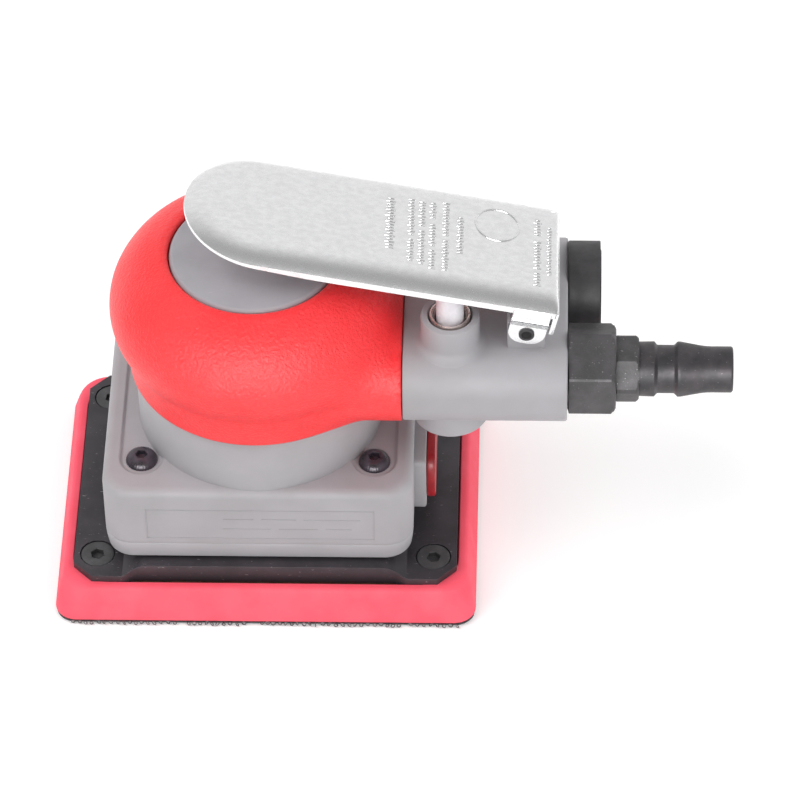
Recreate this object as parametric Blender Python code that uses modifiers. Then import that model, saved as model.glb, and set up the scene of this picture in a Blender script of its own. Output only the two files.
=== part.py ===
"""Pneumatic palm orbital sander with a 75 x 100 mm hook-and-loop pad.

An air motor stands upright in the moulded body. The lower end of its shaft
carries an eccentric bearing, which drives the pad round in a small circle, and
four rubber posts keep the pad from turning. A sheet-metal lever over the body
presses the air valve. Every length below is in millimetres and every angle in
degrees; the helpers turn them into metres and radians. The origin is on the
motor's axis, in the plane of the pad's hook face, with the air inlet to +X.
"""

import math

import bmesh
import bpy
from mathutils import Matrix, Vector

MM = 0.001
GAP = 0.3  # left between pieces that touch on the real machine
ROUND = 40  # segments round a large turned piece
MID_ROUND = 24  # segments round a shaft, bearing or nozzle
SMALL_ROUND = 14  # segments round a screw, pin or bush

# Driving dimensions
ORBIT_DIAMETER = 2.4
PAD_LENGTH, PAD_WIDTH = 100.0, 75.0
PLATE_LENGTH, PLATE_WIDTH = 90.7, 66.5
PLATE_TOP, DECK_TOP = 12.1, 14.4
SKIRT_LENGTH, SKIRT_WIDTH = 72.7, 60.0
SKIRT_BOTTOM, SKIRT_TOP = 15.5, 37.6
COLLAR_RADIUS, COLLAR_TOP = 29.0, 53.7
MOTOR_RADIUS = 22.6  # the air motor's end plates and cylinder
COVER_RADIUS, COVER_WIDEST_Z = 34.4, 71.0
CAP_RADIUS, CAP_TOP = 19.7, 87.1
HANDLE_END_X, HANDLE_Z = 72.2, 62.75
HANDLE_WIDTH, HANDLE_HEIGHT, HANDLE_CORNER = 51.2, 18.3, 7.6
NECK_END_X = 34.2  # where the rubber cover stops and the bare handle begins
PORT_Y = 13.0  # inlet and valve stand this far in front, the muffler behind
VALVE_X = 45.2
PIVOT_X, PIVOT_Z = 62.75, 78.2
LEVER_SLOPE = 12.2
LEVER_WIDTH, LEVER_SHEET = 34.5, 1.3
LEVER_REACH, LEVER_TAIL, LEVER_RISE = 81.6, 5.6, 9.77  # from the pivot to its tip, its rear and its top

# Worked out from those
ECCENTRIC = ORBIT_DIAMETER / 2
PAD_CENTRE = (ECCENTRIC, 0.0)
PLATE_SCREWS = [(sx * 39.8, sy * 25.9) for sx in (-1, 1) for sy in (-1, 1)]
POSTS = [(sx * 27.3, sy * 18.7) for sx in (-1, 1) for sy in (-1, 1)]
VALVE_AT = (VALVE_X, -PORT_Y)

for old in list(bpy.data.objects):
    bpy.data.objects.remove(old, do_unlink=True)
parts = bpy.data.collections.new("orbital_sander")
cutters = bpy.data.collections.new("cutters")
for collection in (parts, cutters):
    bpy.context.scene.collection.children.link(collection)


# ---------------------------------------------------------------- helpers

def material(name, colour, roughness, metallic=0.0):
    """A Principled material; the colour is linear RGB."""
    made = bpy.data.materials.new(name)
    made.use_nodes = True
    shader = made.node_tree.nodes["Principled BSDF"]
    shader.inputs["Base Color"].default_value = (*colour, 1.0)
    shader.inputs["Roughness"].default_value = roughness
    shader.inputs["Metallic"].default_value = metallic
    return made


def add_mesh(name, shape, finish=None, at=(0, 0, 0)):
    """An object from a bmesh in millimetres; with no finish it is a cutter."""
    bmesh.ops.scale(shape, vec=(MM, MM, MM), verts=shape.verts)
    bmesh.ops.recalc_face_normals(shape, faces=shape.faces)
    mesh = bpy.data.meshes.new(name)
    shape.to_mesh(mesh)
    shape.free()
    return add_object(name, mesh, finish, at)


def add_object(name, mesh, finish=None, at=(0, 0, 0)):
    made = bpy.data.objects.new(name, mesh)
    made.location = Vector(at) * MM
    if finish is None:
        cutters.objects.link(made)
        made.hide_render = True
        made.display_type = "WIRE"
        return made
    parts.objects.link(made)
    if not mesh.materials:
        mesh.materials.append(finish)
    mesh.shade_smooth()
    mesh.set_sharp_from_angle(angle=math.radians(35))
    return made


def turned(name, profile, finish=None, at=(0, 0, 0), steps=SMALL_ROUND):
    """A profile of (radius, height) points swept round Z. It runs down the
    outer side; it is closed where it leaves the axis clear."""
    shape = bmesh.new()
    points = [shape.verts.new((radius, 0, height)) for radius, height in profile]
    for one, other in zip(points, points[1:]):
        shape.edges.new((one, other))
    if profile[0][0] > 0:
        shape.edges.new((points[-1], points[0]))
    bmesh.ops.scale(shape, vec=(MM, MM, MM), verts=shape.verts)
    mesh = bpy.data.meshes.new(name)
    shape.to_mesh(mesh)
    shape.free()
    made = add_object(name, mesh, finish, at)
    screw = made.modifiers.new("turn", "SCREW")
    screw.steps = screw.render_steps = steps
    screw.use_merge_vertices = True
    screw.merge_threshold = 0.00001
    screw.use_smooth_shade = True
    return made


def ring(name, inner, outer, low, high, finish=None, at=(0, 0), steps=SMALL_ROUND):
    profile = [(outer, high), (outer, low), (inner, low), (inner, high)]
    return turned(name, profile, finish, (*at, 0), steps)


def disc(name, radius, low, high, finish=None, at=(0, 0), steps=SMALL_ROUND):
    profile = [(0, high), (radius, high), (radius, low), (0, low)]
    return turned(name, profile, finish, (*at, 0), steps)


def along_x(made):
    """Lays a turned piece down, so that its height runs along +X."""
    made.rotation_euler = (0, math.radians(90), 0)
    return made


def box(name, low, high, finish=None):
    """A box between two corners."""
    shape = bmesh.new()
    bmesh.ops.create_cube(shape, size=1.0)
    size = [b - a for a, b in zip(low, high)]
    centre = [(a + b) / 2 for a, b in zip(low, high)]
    bmesh.ops.scale(shape, vec=size, verts=shape.verts)
    bmesh.ops.translate(shape, vec=centre, verts=shape.verts)
    return add_mesh(name, shape, finish)


def prism(name, outline, low, high, finish=None, at=(0, 0), turn=None):
    """A flat outline of (x, y) points as a filled curve, extruded from low to
    high and made a mesh; turn then rotates it about the origin."""
    curve = bpy.data.curves.new(name, "CURVE")
    curve.dimensions = "2D"
    curve.fill_mode = "BOTH"
    curve.extrude = (high - low) / 2 * MM
    spline = curve.splines.new("POLY")
    spline.points.add(len(outline) - 1)
    for point, (x, y) in zip(spline.points, outline):
        point.co = (x * MM, y * MM, 0, 1)
    spline.use_cyclic_u = True
    return from_curve(name, curve, finish, Vector((*at, (low + high) / 2)), turn)


def from_curve(name, curve, finish, offset=Vector(), turn=None):
    """The curve's mesh, with its caps welded on, moved by offset."""
    drawn = bpy.data.objects.new(name + "_curve", curve)
    bpy.context.scene.collection.objects.link(drawn)
    graph = bpy.context.evaluated_depsgraph_get()
    mesh = bpy.data.meshes.new_from_object(drawn.evaluated_get(graph))
    bpy.data.objects.remove(drawn, do_unlink=True)
    shape = bmesh.new()
    shape.from_mesh(mesh)
    bmesh.ops.remove_doubles(shape, verts=shape.verts, dist=0.000005)
    bmesh.ops.translate(shape, vec=offset * MM, verts=shape.verts)
    if turn is not None:
        bmesh.ops.transform(shape, matrix=turn, verts=shape.verts)
    bmesh.ops.recalc_face_normals(shape, faces=shape.faces)
    shape.to_mesh(mesh)
    shape.free()
    return add_object(name, mesh, finish)


def rounded(length, width, radius, steps=4, centre=(0, 0)):
    """A rectangle with round corners, as points from its +X +Y corner on."""
    points = []
    for quarter, (sx, sy) in enumerate(((1, 1), (-1, 1), (-1, -1), (1, -1))):
        cx = centre[0] + sx * (length / 2 - radius)
        cy = centre[1] + sy * (width / 2 - radius)
        for step in range(steps + 1):
            angle = math.radians(90) * (quarter + step / steps)
            points.append((cx + radius * math.cos(angle), cy + radius * math.sin(angle)))
    return points


def loft(name, sections, finish=None):
    """A closed skin over loops of equally many 3-D points."""
    shape = bmesh.new()
    loops = [[shape.verts.new(point) for point in section] for section in sections]
    for lower, upper in zip(loops, loops[1:]):
        for i in range(len(lower)):
            j = (i + 1) % len(lower)
            shape.faces.new((lower[i], lower[j], upper[j], upper[i]))
    shape.faces.new(list(reversed(loops[0])))
    shape.faces.new(loops[-1])
    return add_mesh(name, shape, finish)


def combine(target, operation, *others, solver="EXACT"):
    """Boolean modifiers on target, one for each of the others."""
    for other in others:
        change = target.modifiers.new(operation.lower(), "BOOLEAN")
        change.operation = operation
        change.solver = solver
        change.object = other


def settled(made):
    """The evaluated shape as a plain mesh, so that copies can share it."""
    graph = bpy.context.evaluated_depsgraph_get()
    mesh = bpy.data.meshes.new_from_object(made.evaluated_get(graph))
    made.modifiers.clear()
    made.data = mesh
    mesh.set_sharp_from_angle(angle=math.radians(35))
    return mesh


def hex_cutter(name, flats, low, high):
    corner = flats / 2 / math.cos(math.radians(30))
    points = [(corner * math.cos(math.radians(60 * i)), corner * math.sin(math.radians(60 * i)))
              for i in range(6)]
    return prism(name, points, low, high)


def copies(stem, first, places, finish):
    """The first piece at the first place and its twins at the others."""
    mesh = settled(first)
    parts.objects.unlink(first)
    bpy.data.objects.remove(first, do_unlink=True)
    for number, (x, y) in enumerate(places, 1):
        add_object(f"{stem}_{number}", mesh, finish, (x, y, 0))


# ---------------------------------------------------------------- materials

grey_plastic = material("grey_moulding", (0.46, 0.46, 0.47), 0.42)
red_rubber = material("red_grip_rubber", (0.95, 0.08, 0.09), 0.55)
red_plastic = material("red_moulding", (0.60, 0.05, 0.07), 0.45)
pad_rubber = material("pink_red_foam", (0.95, 0.12, 0.17), 0.6)
black_anodised = material("black_anodised", (0.055, 0.055, 0.057), 0.5, 0.6)
black_oxide = material("black_oxide_steel", (0.05, 0.05, 0.05), 0.38, 0.8)
bright_steel = material("bright_steel", (0.78, 0.78, 0.78), 0.22, 1.0)
ground_steel = material("ground_steel", (0.6, 0.6, 0.61), 0.3, 1.0)
cast_alloy = material("cast_aluminium", (0.62, 0.62, 0.63), 0.4, 1.0)
white_plastic = material("white_acetal", (0.85, 0.84, 0.86), 0.3)
post_rubber = material("black_rubber", (0.03, 0.03, 0.03), 0.8)
board_fibre = material("glass_fibre_board", (0.35, 0.33, 0.24), 0.6)
vane_fibre = material("phenolic_fibre", (0.28, 0.16, 0.08), 0.55)
hook_fabric = material("hook_sheet", (0.12, 0.12, 0.12), 0.8)
black_foam = material("exhaust_foam", (0.04, 0.04, 0.04), 0.9)
black_plastic = material("black_moulding", (0.04, 0.04, 0.04), 0.5)
brass = material("brass", (0.75, 0.55, 0.25), 0.3, 1.0)


# ---------------------------------------------------------------- pad

def pad_section(length, width, radius, height):
    return [(x, y, height) for x, y in rounded(length, width, radius, 4, PAD_CENTRE)]


def plate_outline(grow=0.0):
    """The plate's plan: cut corners, and long sides that step in between."""
    half_x, half_y = PLATE_LENGTH / 2 + grow, PLATE_WIDTH / 2 + grow
    corner, waist = 4.5, 1.3
    quarter = [(half_x, half_y - corner), (half_x - corner, half_y), (34.0, half_y),
               (32.6, half_y - waist * 0.25), (31.4, half_y - waist * 0.75), (30.0, half_y - waist)]
    half = quarter + [(-x, y) for x, y in reversed(quarter)]
    return half + [(x, -y) for x, y in reversed(half)]


def build_pad():
    hook_low, hook_high = 0.0, 0.6
    prism("hook_face", rounded(98.0, 73.0, 4.0, 4), hook_low, hook_high, hook_fabric, PAD_CENTRE)

    foam_low, foam_top = hook_high + GAP, PLATE_TOP - 1.9
    foam = loft("pad_foam", [
        pad_section(PAD_LENGTH - 1.4, PAD_WIDTH - 1.4, 4.3, foam_low),
        pad_section(PAD_LENGTH, PAD_WIDTH, 5.0, foam_low + 0.8),
        pad_section(PAD_LENGTH - 3.6, PAD_WIDTH - 3.6, 5.0, foam_top - 1.6),
        pad_section(PAD_LENGTH - 6.0, PAD_WIDTH - 5.4, 4.4, foam_top),
    ], pad_rubber)
    plate_low, board_low = PLATE_TOP - 2.9, PLATE_TOP - 4.9
    recess = prism("foam_recess", plate_outline(GAP), board_low - GAP, foam_top + 2, None, PAD_CENTRE)
    combine(foam, "DIFFERENCE", recess)

    board = prism("pad_backing_board", plate_outline(), board_low, plate_low - GAP, board_fibre, PAD_CENTRE)
    board_holes = [disc(f"board_hole_{x}_{y}", 2.4, 5, 12, None, (x + ECCENTRIC, y)) for x, y in PLATE_SCREWS]
    head_room = disc("board_centre_hole", 6.0, 5, 12, None, PAD_CENTRE)
    combine(board, "DIFFERENCE", head_room, *board_holes)

    plate = prism("base_plate", plate_outline(), plate_low, DECK_TOP, black_anodised, PAD_CENTRE)
    build_plate_cuts(plate, plate_low)
    build_plate_screws(board_low)
    build_spindle(plate_low)


def build_plate_cuts(plate, plate_low):
    """The deck is milled down to PLATE_TOP over both ends, along a ramp."""
    deck_end, ramp_end, past = 28.6, 33.6, 60.0
    upright = Matrix.Rotation(math.radians(90), 4, "X")
    for side in (-1, 1):
        ramp = [(ECCENTRIC + side * deck_end, DECK_TOP), (ECCENTRIC + side * ramp_end, PLATE_TOP),
                (ECCENTRIC + side * past, PLATE_TOP), (ECCENTRIC + side * past, DECK_TOP + 5),
                (ECCENTRIC + side * deck_end, DECK_TOP + 5)]
        combine(plate, "DIFFERENCE", prism(f"end_mill_{side}", ramp, -50, 50, None, turn=upright))
    for number, (x, y) in enumerate(POSTS):
        place = (x + ECCENTRIC, y)
        combine(plate, "UNION", disc(f"post_seat_{number}", 5.8, plate_low + 0.7, DECK_TOP, None, place))
        combine(plate, "DIFFERENCE", disc(f"post_hole_{number}", 2.3, 5, 20, None, place))
    sink = [(0, 14), (4.25, 14), (4.25, 11.65), (2.3, 9.7), (2.3, 5), (0, 5)]
    for number, (x, y) in enumerate(PLATE_SCREWS):
        combine(plate, "DIFFERENCE", turned(f"countersink_{number}", sink, None, (x + ECCENTRIC, y, 0)))
    bolt_way = [(0, 16), (3.3, 16), (3.3, 12.3), (5.8, 12.3), (5.8, 5), (0, 5)]
    combine(plate, "DIFFERENCE", turned("spindle_bolt_way", bolt_way, None, (*PAD_CENTRE, 0)))


def build_plate_screws(board_low):
    """Countersunk hexagon-socket screws, flush with the plate's ends."""
    top = PLATE_TOP - 0.1
    head = [(0, top), (3.95, top), (3.95, top - 0.4), (1.95, top - 2.4), (1.95, board_low + 0.2), (0, board_low + 0.2)]
    screw = turned("plate_screw", head, black_oxide)
    combine(screw, "DIFFERENCE", hex_cutter("plate_screw_socket", 2.9, top - 1.5, top + 1))
    copies("plate_screw", screw, [(x + ECCENTRIC, y) for x, y in PLATE_SCREWS], black_oxide)


def build_spindle(plate_low):
    """The stub that stands on the plate and runs in the eccentric bearing."""
    foot = DECK_TOP + GAP
    stub = [(5.9, 26.0), (5.9, 18.0), (8.0, 18.0), (8.0, foot + 2.4), (13.0, foot + 2.4), (13.0, foot),
            (3.2, foot), (3.2, 26.0)]
    turned("pad_spindle", stub, ground_steel, (*PAD_CENTRE, 0), MID_ROUND)
    bolt = [(0, 25.0), (2.9, 25.0), (2.9, 12.0), (5.2, 12.0), (5.2, plate_low + 0.2), (0, plate_low + 0.2)]
    screw = turned("spindle_screw", bolt, black_oxide, (*PAD_CENTRE, 0))
    combine(screw, "DIFFERENCE", moved(hex_cutter("spindle_screw_socket", 4.0, 8.0, 11.0), PAD_CENTRE))


def moved(made, place):
    made.location = Vector((*place, 0)) * MM
    return made


# ---------------------------------------------------------------- air motor

SHAFT_RADIUS, SHAFT_TOP = 4.0, 75.0
LOWER_PLATE = (34.3, 42.3)
CYLINDER = (42.6, 66.6)
UPPER_PLATE = (66.9, 75.2)
BORE_RADIUS = 18.6
ROTOR_RADIUS = 17.0
VANES = 5


def build_motor():
    cup_low, cup_floor, cup_top = 18.0, 26.6, 28.8
    crank = turned("crankshaft", [(0, SHAFT_TOP), (SHAFT_RADIUS, SHAFT_TOP), (SHAFT_RADIUS, LOWER_PLATE[0] - 0.3),
                                  (5.4, LOWER_PLATE[0] - 0.3), (5.4, cup_top), (17.5, cup_top),
                                  (17.5, cup_low), (0, cup_low)], ground_steel, steps=MID_ROUND)
    arc = [math.radians(angle) for angle in range(105, 256, 15)]
    balance = [(24.0 * math.cos(a), 24.0 * math.sin(a)) for a in arc]
    balance += [(14.5 * math.cos(a), 14.5 * math.sin(a)) for a in reversed(arc)]
    combine(crank, "UNION", prism("counterweight", balance, cup_low + 0.4, cup_top - 0.4))
    combine(crank, "DIFFERENCE", disc("crank_pocket", 13.3, cup_low - 2, cup_floor, None, PAD_CENTRE, MID_ROUND))
    ring("spindle_bearing", 6.2, 13.0, 18.3, 26.3, ground_steel, PAD_CENTRE, MID_ROUND)

    rotor = ring("rotor", SHAFT_RADIUS + GAP, ROTOR_RADIUS, CYLINDER[0] + GAP, CYLINDER[1] - GAP, ground_steel, steps=ROUND)
    vane_low, vane_high = CYLINDER[0] + 0.5, CYLINDER[1] - 0.5
    for number in range(VANES):
        turn = math.radians(360 / VANES * number)
        slot = box(f"vane_slot_{number}", (8.0, -1.05, 40.0), (20.0, 1.05, 70.0))
        slot.rotation_euler.z = turn
        combine(rotor, "DIFFERENCE", slot)
        vane = box(f"vane_{number + 1}", (8.4, -0.75, vane_low), (ROTOR_RADIUS - 0.2, 0.75, vane_high), vane_fibre)
        vane.rotation_euler.z = turn

    liner = disc("cylinder", MOTOR_RADIUS, *CYLINDER, cast_alloy, steps=ROUND)
    bore_at = (ROTOR_RADIUS + GAP - BORE_RADIUS, 0)
    inlet_port = along_x(disc("cylinder_inlet", 1.3, 10, 30))
    inlet_port.location = Vector((0, -PORT_Y, 65.0)) * MM
    exhaust = [box(f"exhaust_slot_{i}", (8, 10, 58.6 + 3.2 * i), (30, 16, 60.8 + 3.2 * i)) for i in range(2)]
    combine(liner, "DIFFERENCE", disc("cylinder_bore", BORE_RADIUS, 30, 80, None, bore_at, ROUND), inlet_port, *exhaust)

    web, pocket, way = 1.5, 11.3, 5.2
    low, high = LOWER_PLATE
    turned("lower_end_plate", [(MOTOR_RADIUS, high), (MOTOR_RADIUS, low), (pocket, low), (pocket, high - web),
                               (way, high - web), (way, high)], cast_alloy, steps=ROUND)
    ring("lower_bearing", SHAFT_RADIUS + GAP, 11.0, low + 0.2, high - web - GAP, ground_steel, steps=MID_ROUND)
    low, high = UPPER_PLATE
    turned("upper_end_plate", [(MOTOR_RADIUS, high), (MOTOR_RADIUS, low), (way, low), (way, low + web),
                               (pocket, low + web), (pocket, high)], cast_alloy, steps=ROUND)
    ring("upper_bearing", SHAFT_RADIUS + GAP, 11.0, low + web + GAP, high - 0.4, ground_steel, steps=MID_ROUND)

    flange_low, flange_high = 29.9, 31.4
    clamp = turned("clamp_ring", [(MOTOR_RADIUS - 0.1, low_face(LOWER_PLATE)), (MOTOR_RADIUS - 0.1, flange_high),
                                  (27.0, flange_high), (27.0, flange_low), (16.5, flange_low),
                                  (16.5, low_face(LOWER_PLATE))], black_oxide, steps=ROUND)
    notches = box("spanner_notches", (-19.5, -2, 28), (19.5, 2, 30.8))
    combine(clamp, "DIFFERENCE", notches)


def low_face(span):
    return span[0] - GAP


# ---------------------------------------------------------------- body mouldings

PORT_TURN = Matrix.Rotation(math.radians(90), 4, "Z") @ Matrix.Rotation(math.radians(90), 4, "X")
SPIGOT_RADIUS, BARREL_RADIUS = 25.8, 27.0
BARREL_TOP = 83.5
HOUSING_BORE = 22.9


def bar_section(inset, x):
    """A section of the handle in the plane x, taken in by inset all round."""
    outline = rounded(HANDLE_WIDTH - 2 * inset, HANDLE_HEIGHT - 2 * inset, HANDLE_CORNER - inset, 6)
    return [(x, y, HANDLE_Z + z) for y, z in outline]


def barrel_profile(grow=0.0, top=BARREL_TOP):
    """The moulding's barrel under the rubber cover, grown for the cover's bore."""
    return [(0, top), (20.2 + grow, top), (22.8 + grow, 80.0), (25.6 + grow, 74.0), (BARREL_RADIUS + grow, 68.0),
            (BARREL_RADIUS + grow, COLLAR_TOP + GAP), (SPIGOT_RADIUS + grow, COLLAR_TOP + GAP)]


def collar_room(name):
    """What the skirt's collar takes out of the handle and the cover."""
    return disc(name, COLLAR_RADIUS + GAP, 20, COLLAR_TOP + GAP + 0.05, None, steps=ROUND)


def build_motor_housing():
    spigot_low = 31.7
    housing = turned("motor_housing", barrel_profile() + [(SPIGOT_RADIUS, spigot_low), (0, spigot_low)],
                     grey_plastic, steps=ROUND)
    sleeve_wall = 3.3
    handle = loft("handle_body", [
        bar_section(sleeve_wall, 5.0),
        bar_section(sleeve_wall, NECK_END_X - 0.1),
        bar_section(0.0, NECK_END_X + GAP),
        bar_section(0.0, HANDLE_END_X - 0.8),
        bar_section(0.8, HANDLE_END_X),
    ])
    combine(handle, "DIFFERENCE", collar_room("handle_collar_room"))
    valve_boss = disc("valve_boss", 6.8, 64.0, 80.0, None, VALVE_AT, MID_ROUND)
    regulator_boss = disc("regulator_boss", 9.0, 48.5, 60.0, None, VALVE_AT, MID_ROUND)
    pivot_block = box("pivot_block", (58.3, -15.8, 66.0), (67.0, 15.8, 80.9))
    combine(housing, "UNION", handle, valve_boss, regulator_boss, pivot_block)

    seat_low, seat_high = 62.0, 64.0
    bores = [
        disc("motor_bore", HOUSING_BORE, 20, UPPER_PLATE[1] + GAP, None, steps=ROUND),
        disc("cap_socket", 6.0, 79.0, 90.0),
        disc("pin_bore", 5.05, seat_high, 90, None, VALVE_AT),
        disc("seat_way", 3.3, 60, 66, None, VALVE_AT),
        disc("valve_chamber", 7.3, 40, seat_low, None, VALVE_AT, MID_ROUND),
    ]
    level_bores = (
        ("inlet_thread", 6.9, 57.0, 90.0, -PORT_Y, HANDLE_Z),
        ("inlet_way", 2.2, 48.0, 60.0, -PORT_Y, 59.0),
        ("motor_feed", 1.4, 14.0, 45.0, -PORT_Y, 65.9),
        ("muffler_chamber", 7.4, 36.0, 90.0, PORT_Y, HANDLE_Z),
        ("exhaust_way", 4.2, 10.0, 37.0, PORT_Y, HANDLE_Z),
    )
    for name, radius, start, end, y, z in level_bores:
        cut = along_x(disc(name, radius, start, end))
        cut.location = Vector((0, y, z)) * MM
        bores.append(cut)
    pin_hole = disc("pivot_pin_hole", 2.1, -30, 30)
    pin_hole.rotation_euler = (math.radians(90), 0, 0)
    pin_hole.location = Vector((PIVOT_X, 0, PIVOT_Z)) * MM
    # Bores that share an axis leave slivers under the exact solver
    combine(housing, "DIFFERENCE", pin_hole, *bores, solver="MANIFOLD")

    turned("top_cap", [(0, CAP_TOP), (CAP_RADIUS - 0.5, CAP_TOP), (CAP_RADIUS, CAP_TOP - 0.5),
                       (CAP_RADIUS, BARREL_TOP + GAP), (5.7, BARREL_TOP + GAP), (5.7, 79.4), (0, 79.4)],
           grey_plastic, steps=ROUND)


def build_grip_cover():
    """A thick rubber mushroom over the barrel, with a sleeve round the handle."""
    outer = [(0, CAP_TOP - 0.2), (22.0, CAP_TOP - 0.2), (26.8, 84.6), (30.8, 81.0), (33.6, 76.0), (COVER_RADIUS, COVER_WIDEST_Z),
             (33.6, 66.0), (31.8, 61.8), (30.6, 58.5), (30.2, COLLAR_TOP + GAP), (0, COLLAR_TOP + GAP)]
    cover = turned("grip_cover", outer, red_rubber, steps=ROUND)
    sleeve = loft("cover_sleeve", [
        bar_section(-0.2, 6.0),
        bar_section(-0.2, NECK_END_X - 0.2),
    ])
    combine(sleeve, "DIFFERENCE", collar_room("cover_collar_room"))
    inner = turned("cover_bore", [(0, 95), (CAP_RADIUS + GAP, 95), (CAP_RADIUS + GAP, BARREL_TOP + 0.4)]
                   + barrel_profile(GAP, BARREL_TOP + GAP)[1:6] + [(BARREL_RADIUS + GAP, 45), (0, 45)],
                   None, steps=ROUND)
    inner_handle = loft("cover_sleeve_bore", [
        bar_section(3.0, 5.0),
        bar_section(3.0, NECK_END_X + 5.0),
    ])
    combine(cover, "UNION", sleeve)
    combine(cover, "DIFFERENCE", inner, inner_handle)


def build_skirt():
    """The box over the posts, open below, with a collar that takes the motor."""
    half_top = SKIRT_TOP - 2.0
    lip = SKIRT_BOTTOM + 4.6

    def section(inset, height, radius=6.5):
        return [(x, y, height) for x, y in
                rounded(SKIRT_LENGTH - 2 * inset, SKIRT_WIDTH - 2 * inset, radius, 5)]

    skirt = loft("skirt", [section(0.6, SKIRT_BOTTOM, 6.2), section(0.0, lip), section(0.0, half_top),
                           section(0.6, SKIRT_TOP - 0.6, 6.0), section(2.0, SKIRT_TOP, 5.0)], grey_plastic)
    for side in (-1, 1):
        pocket = rounded(10.6, 2 * POSTS[-1][1] + 10.6, 5.25, 4, (side * POSTS[-1][0], 0))
        combine(skirt, "DIFFERENCE", prism(f"screw_pocket_{side}", pocket, SKIRT_TOP - 1.3, SKIRT_TOP + 5))
    flange = box("port_flange", (30, -15.5, 17.4), (39.2, 15.5, 33.2))
    collar = disc("collar", COLLAR_RADIUS, 34.5, COLLAR_TOP, None, steps=ROUND)
    combine(skirt, "UNION", collar, flange)

    wall = 2.6
    cavity = prism("skirt_cavity", rounded(SKIRT_LENGTH - 2 * wall, SKIRT_WIDTH - 2 * wall, 4.5), 10, 31.7)
    collar_bore = disc("collar_bore", SPIGOT_RADIUS + GAP, 20, 60, None, steps=ROUND)
    port = prism("port_opening", rounded(24, 10.5, 4, centre=(0, 25.3)), 25, 50, None, turn=PORT_TURN)
    cuts = [cavity, collar_bore, port]
    for number, (x, y) in enumerate(POSTS):
        cuts.append(disc(f"post_room_{number}", 6.3, 20, 34.8, None, (x, y)))
        cuts.append(disc(f"post_screw_way_{number}", 2.3, 20, 50, None, (x, y)))
    # The collar's flat rim splits into slivers under the exact solver
    combine(skirt, "DIFFERENCE", *cuts, solver="MANIFOLD")


def build_skirt_fasteners():
    head_low = SKIRT_TOP - 1.3 + GAP
    head = [(0, head_low + 2.2), (1.9, head_low + 2.2), (3.1, head_low + 1.5), (3.85, head_low + 0.3),
            (3.85, head_low), (1.95, head_low), (1.95, 24.0), (0, 24.0)]
    screw = turned("skirt_screw", head, black_oxide)
    combine(screw, "DIFFERENCE", hex_cutter("skirt_screw_socket", 2.5, head_low + 0.9, head_low + 3))
    copies("skirt_screw", screw, POSTS, black_oxide)


def build_isolator_posts():
    """Rubber columns with a stud into the plate and a tapped head; each leans
    by the pad's offset at rest."""
    low, high = DECK_TOP + GAP, 34.5
    levels = ((2.0, 9.6), (2.0, low), (5.0, low), (5.0, low + 2), (4.2, low + 5), (4.2, high - 5), (5.0, high - 2),
              (5.0, high))
    for number, (x, y) in enumerate(POSTS, 1):
        sections = []
        for radius, height in levels:
            lean = ECCENTRIC * (1 - max(0.0, height - low) / (high - low))
            sections.append([(x + lean + radius * math.cos(math.radians(30 * i)),
                              y + radius * math.sin(math.radians(30 * i)), height) for i in range(12)])
        post = loft(f"isolator_post_{number}", sections, post_rubber)
        combine(post, "DIFFERENCE", disc(f"post_tapping_{number}", 2.3, 23.6, 40, None, (x, y)))


def build_port_plug():
    plate = prism("port_plug", rounded(29, 13.4, 5, centre=(0, 25.4)), 39.5, 41.4, red_plastic, turn=PORT_TURN)
    stub = prism("port_plug_stub", rounded(23.2, 9.7, 3.6, centre=(0, 25.3)), 35.0, 40.0, None, turn=PORT_TURN)
    combine(plate, "UNION", stub)


# ---------------------------------------------------------------- valve and lever

def build_valve():
    spot = (*VALVE_AT, 0)
    turned("valve_pin", [(0, 89.9), (1.0, 89.7), (2.2, 88.6), (3.2, 87.0), (3.2, 64.9), (1.5, 64.9), (1.5, 61.2), (0, 61.2)],
           white_plastic, spot)
    ring("valve_bush", 3.5, 4.75, 67.8, 79.9, bright_steel, VALVE_AT)
    ring("seat_oring", 3.8, 5.6, 60.9, 61.7, post_rubber, VALVE_AT)
    turned("valve_poppet", [(0, 60.6), (5.2, 60.6), (5.2, 58.8), (2.4, 58.8), (2.4, 56.6), (0, 56.6)], brass, spot)
    build_valve_spring(spot)
    dial = [(0, 51.6), (2.2, 51.6), (2.2, 50.6), (7.0, 50.6), (7.0, 47.6), (0, 47.6)]
    regulator = turned("regulator_dial", dial, black_plastic, spot, MID_ROUND)
    combine(regulator, "DIFFERENCE", box("dial_slot", (VALVE_X - 5, -PORT_Y - 0.8, 46), (VALVE_X + 5, -PORT_Y + 0.8, 48.8)))


def build_valve_spring(spot):
    """Four turns of wire between the dial and the poppet."""
    wire, coil_radius, turns, steps = 0.7, 3.5, 4, 8
    low, high = 51.3, 58.1
    curve = bpy.data.curves.new("valve_spring", "CURVE")
    curve.dimensions = "3D"
    curve.bevel_depth = wire / 2 * MM
    curve.bevel_resolution = 0
    curve.use_fill_caps = True
    spline = curve.splines.new("POLY")
    count = turns * steps
    spline.points.add(count)
    for i, point in enumerate(spline.points):
        angle = 2 * math.pi * i / steps
        point.co = (coil_radius * math.cos(angle) * MM, coil_radius * math.sin(angle) * MM,
                    (low + (high - low) * i / count) * MM, 1)
    from_curve("valve_spring", curve, bright_steel, Vector(spot))


def lever_section(side_inset, tail_inset, height):
    """The lever's plan at one height: a round nose and a square tail."""
    radius = LEVER_WIDTH / 2 - side_inset
    tail = LEVER_TAIL - tail_inset
    nose = [math.radians(angle) for angle in range(90, 271, 12)]
    outline = [(tail, -radius), (tail, radius)]
    outline += [(LEVER_WIDTH / 2 - LEVER_REACH + radius * math.cos(a), radius * math.sin(a)) for a in nose]
    return [(x, y, height) for x, y in outline]


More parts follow.
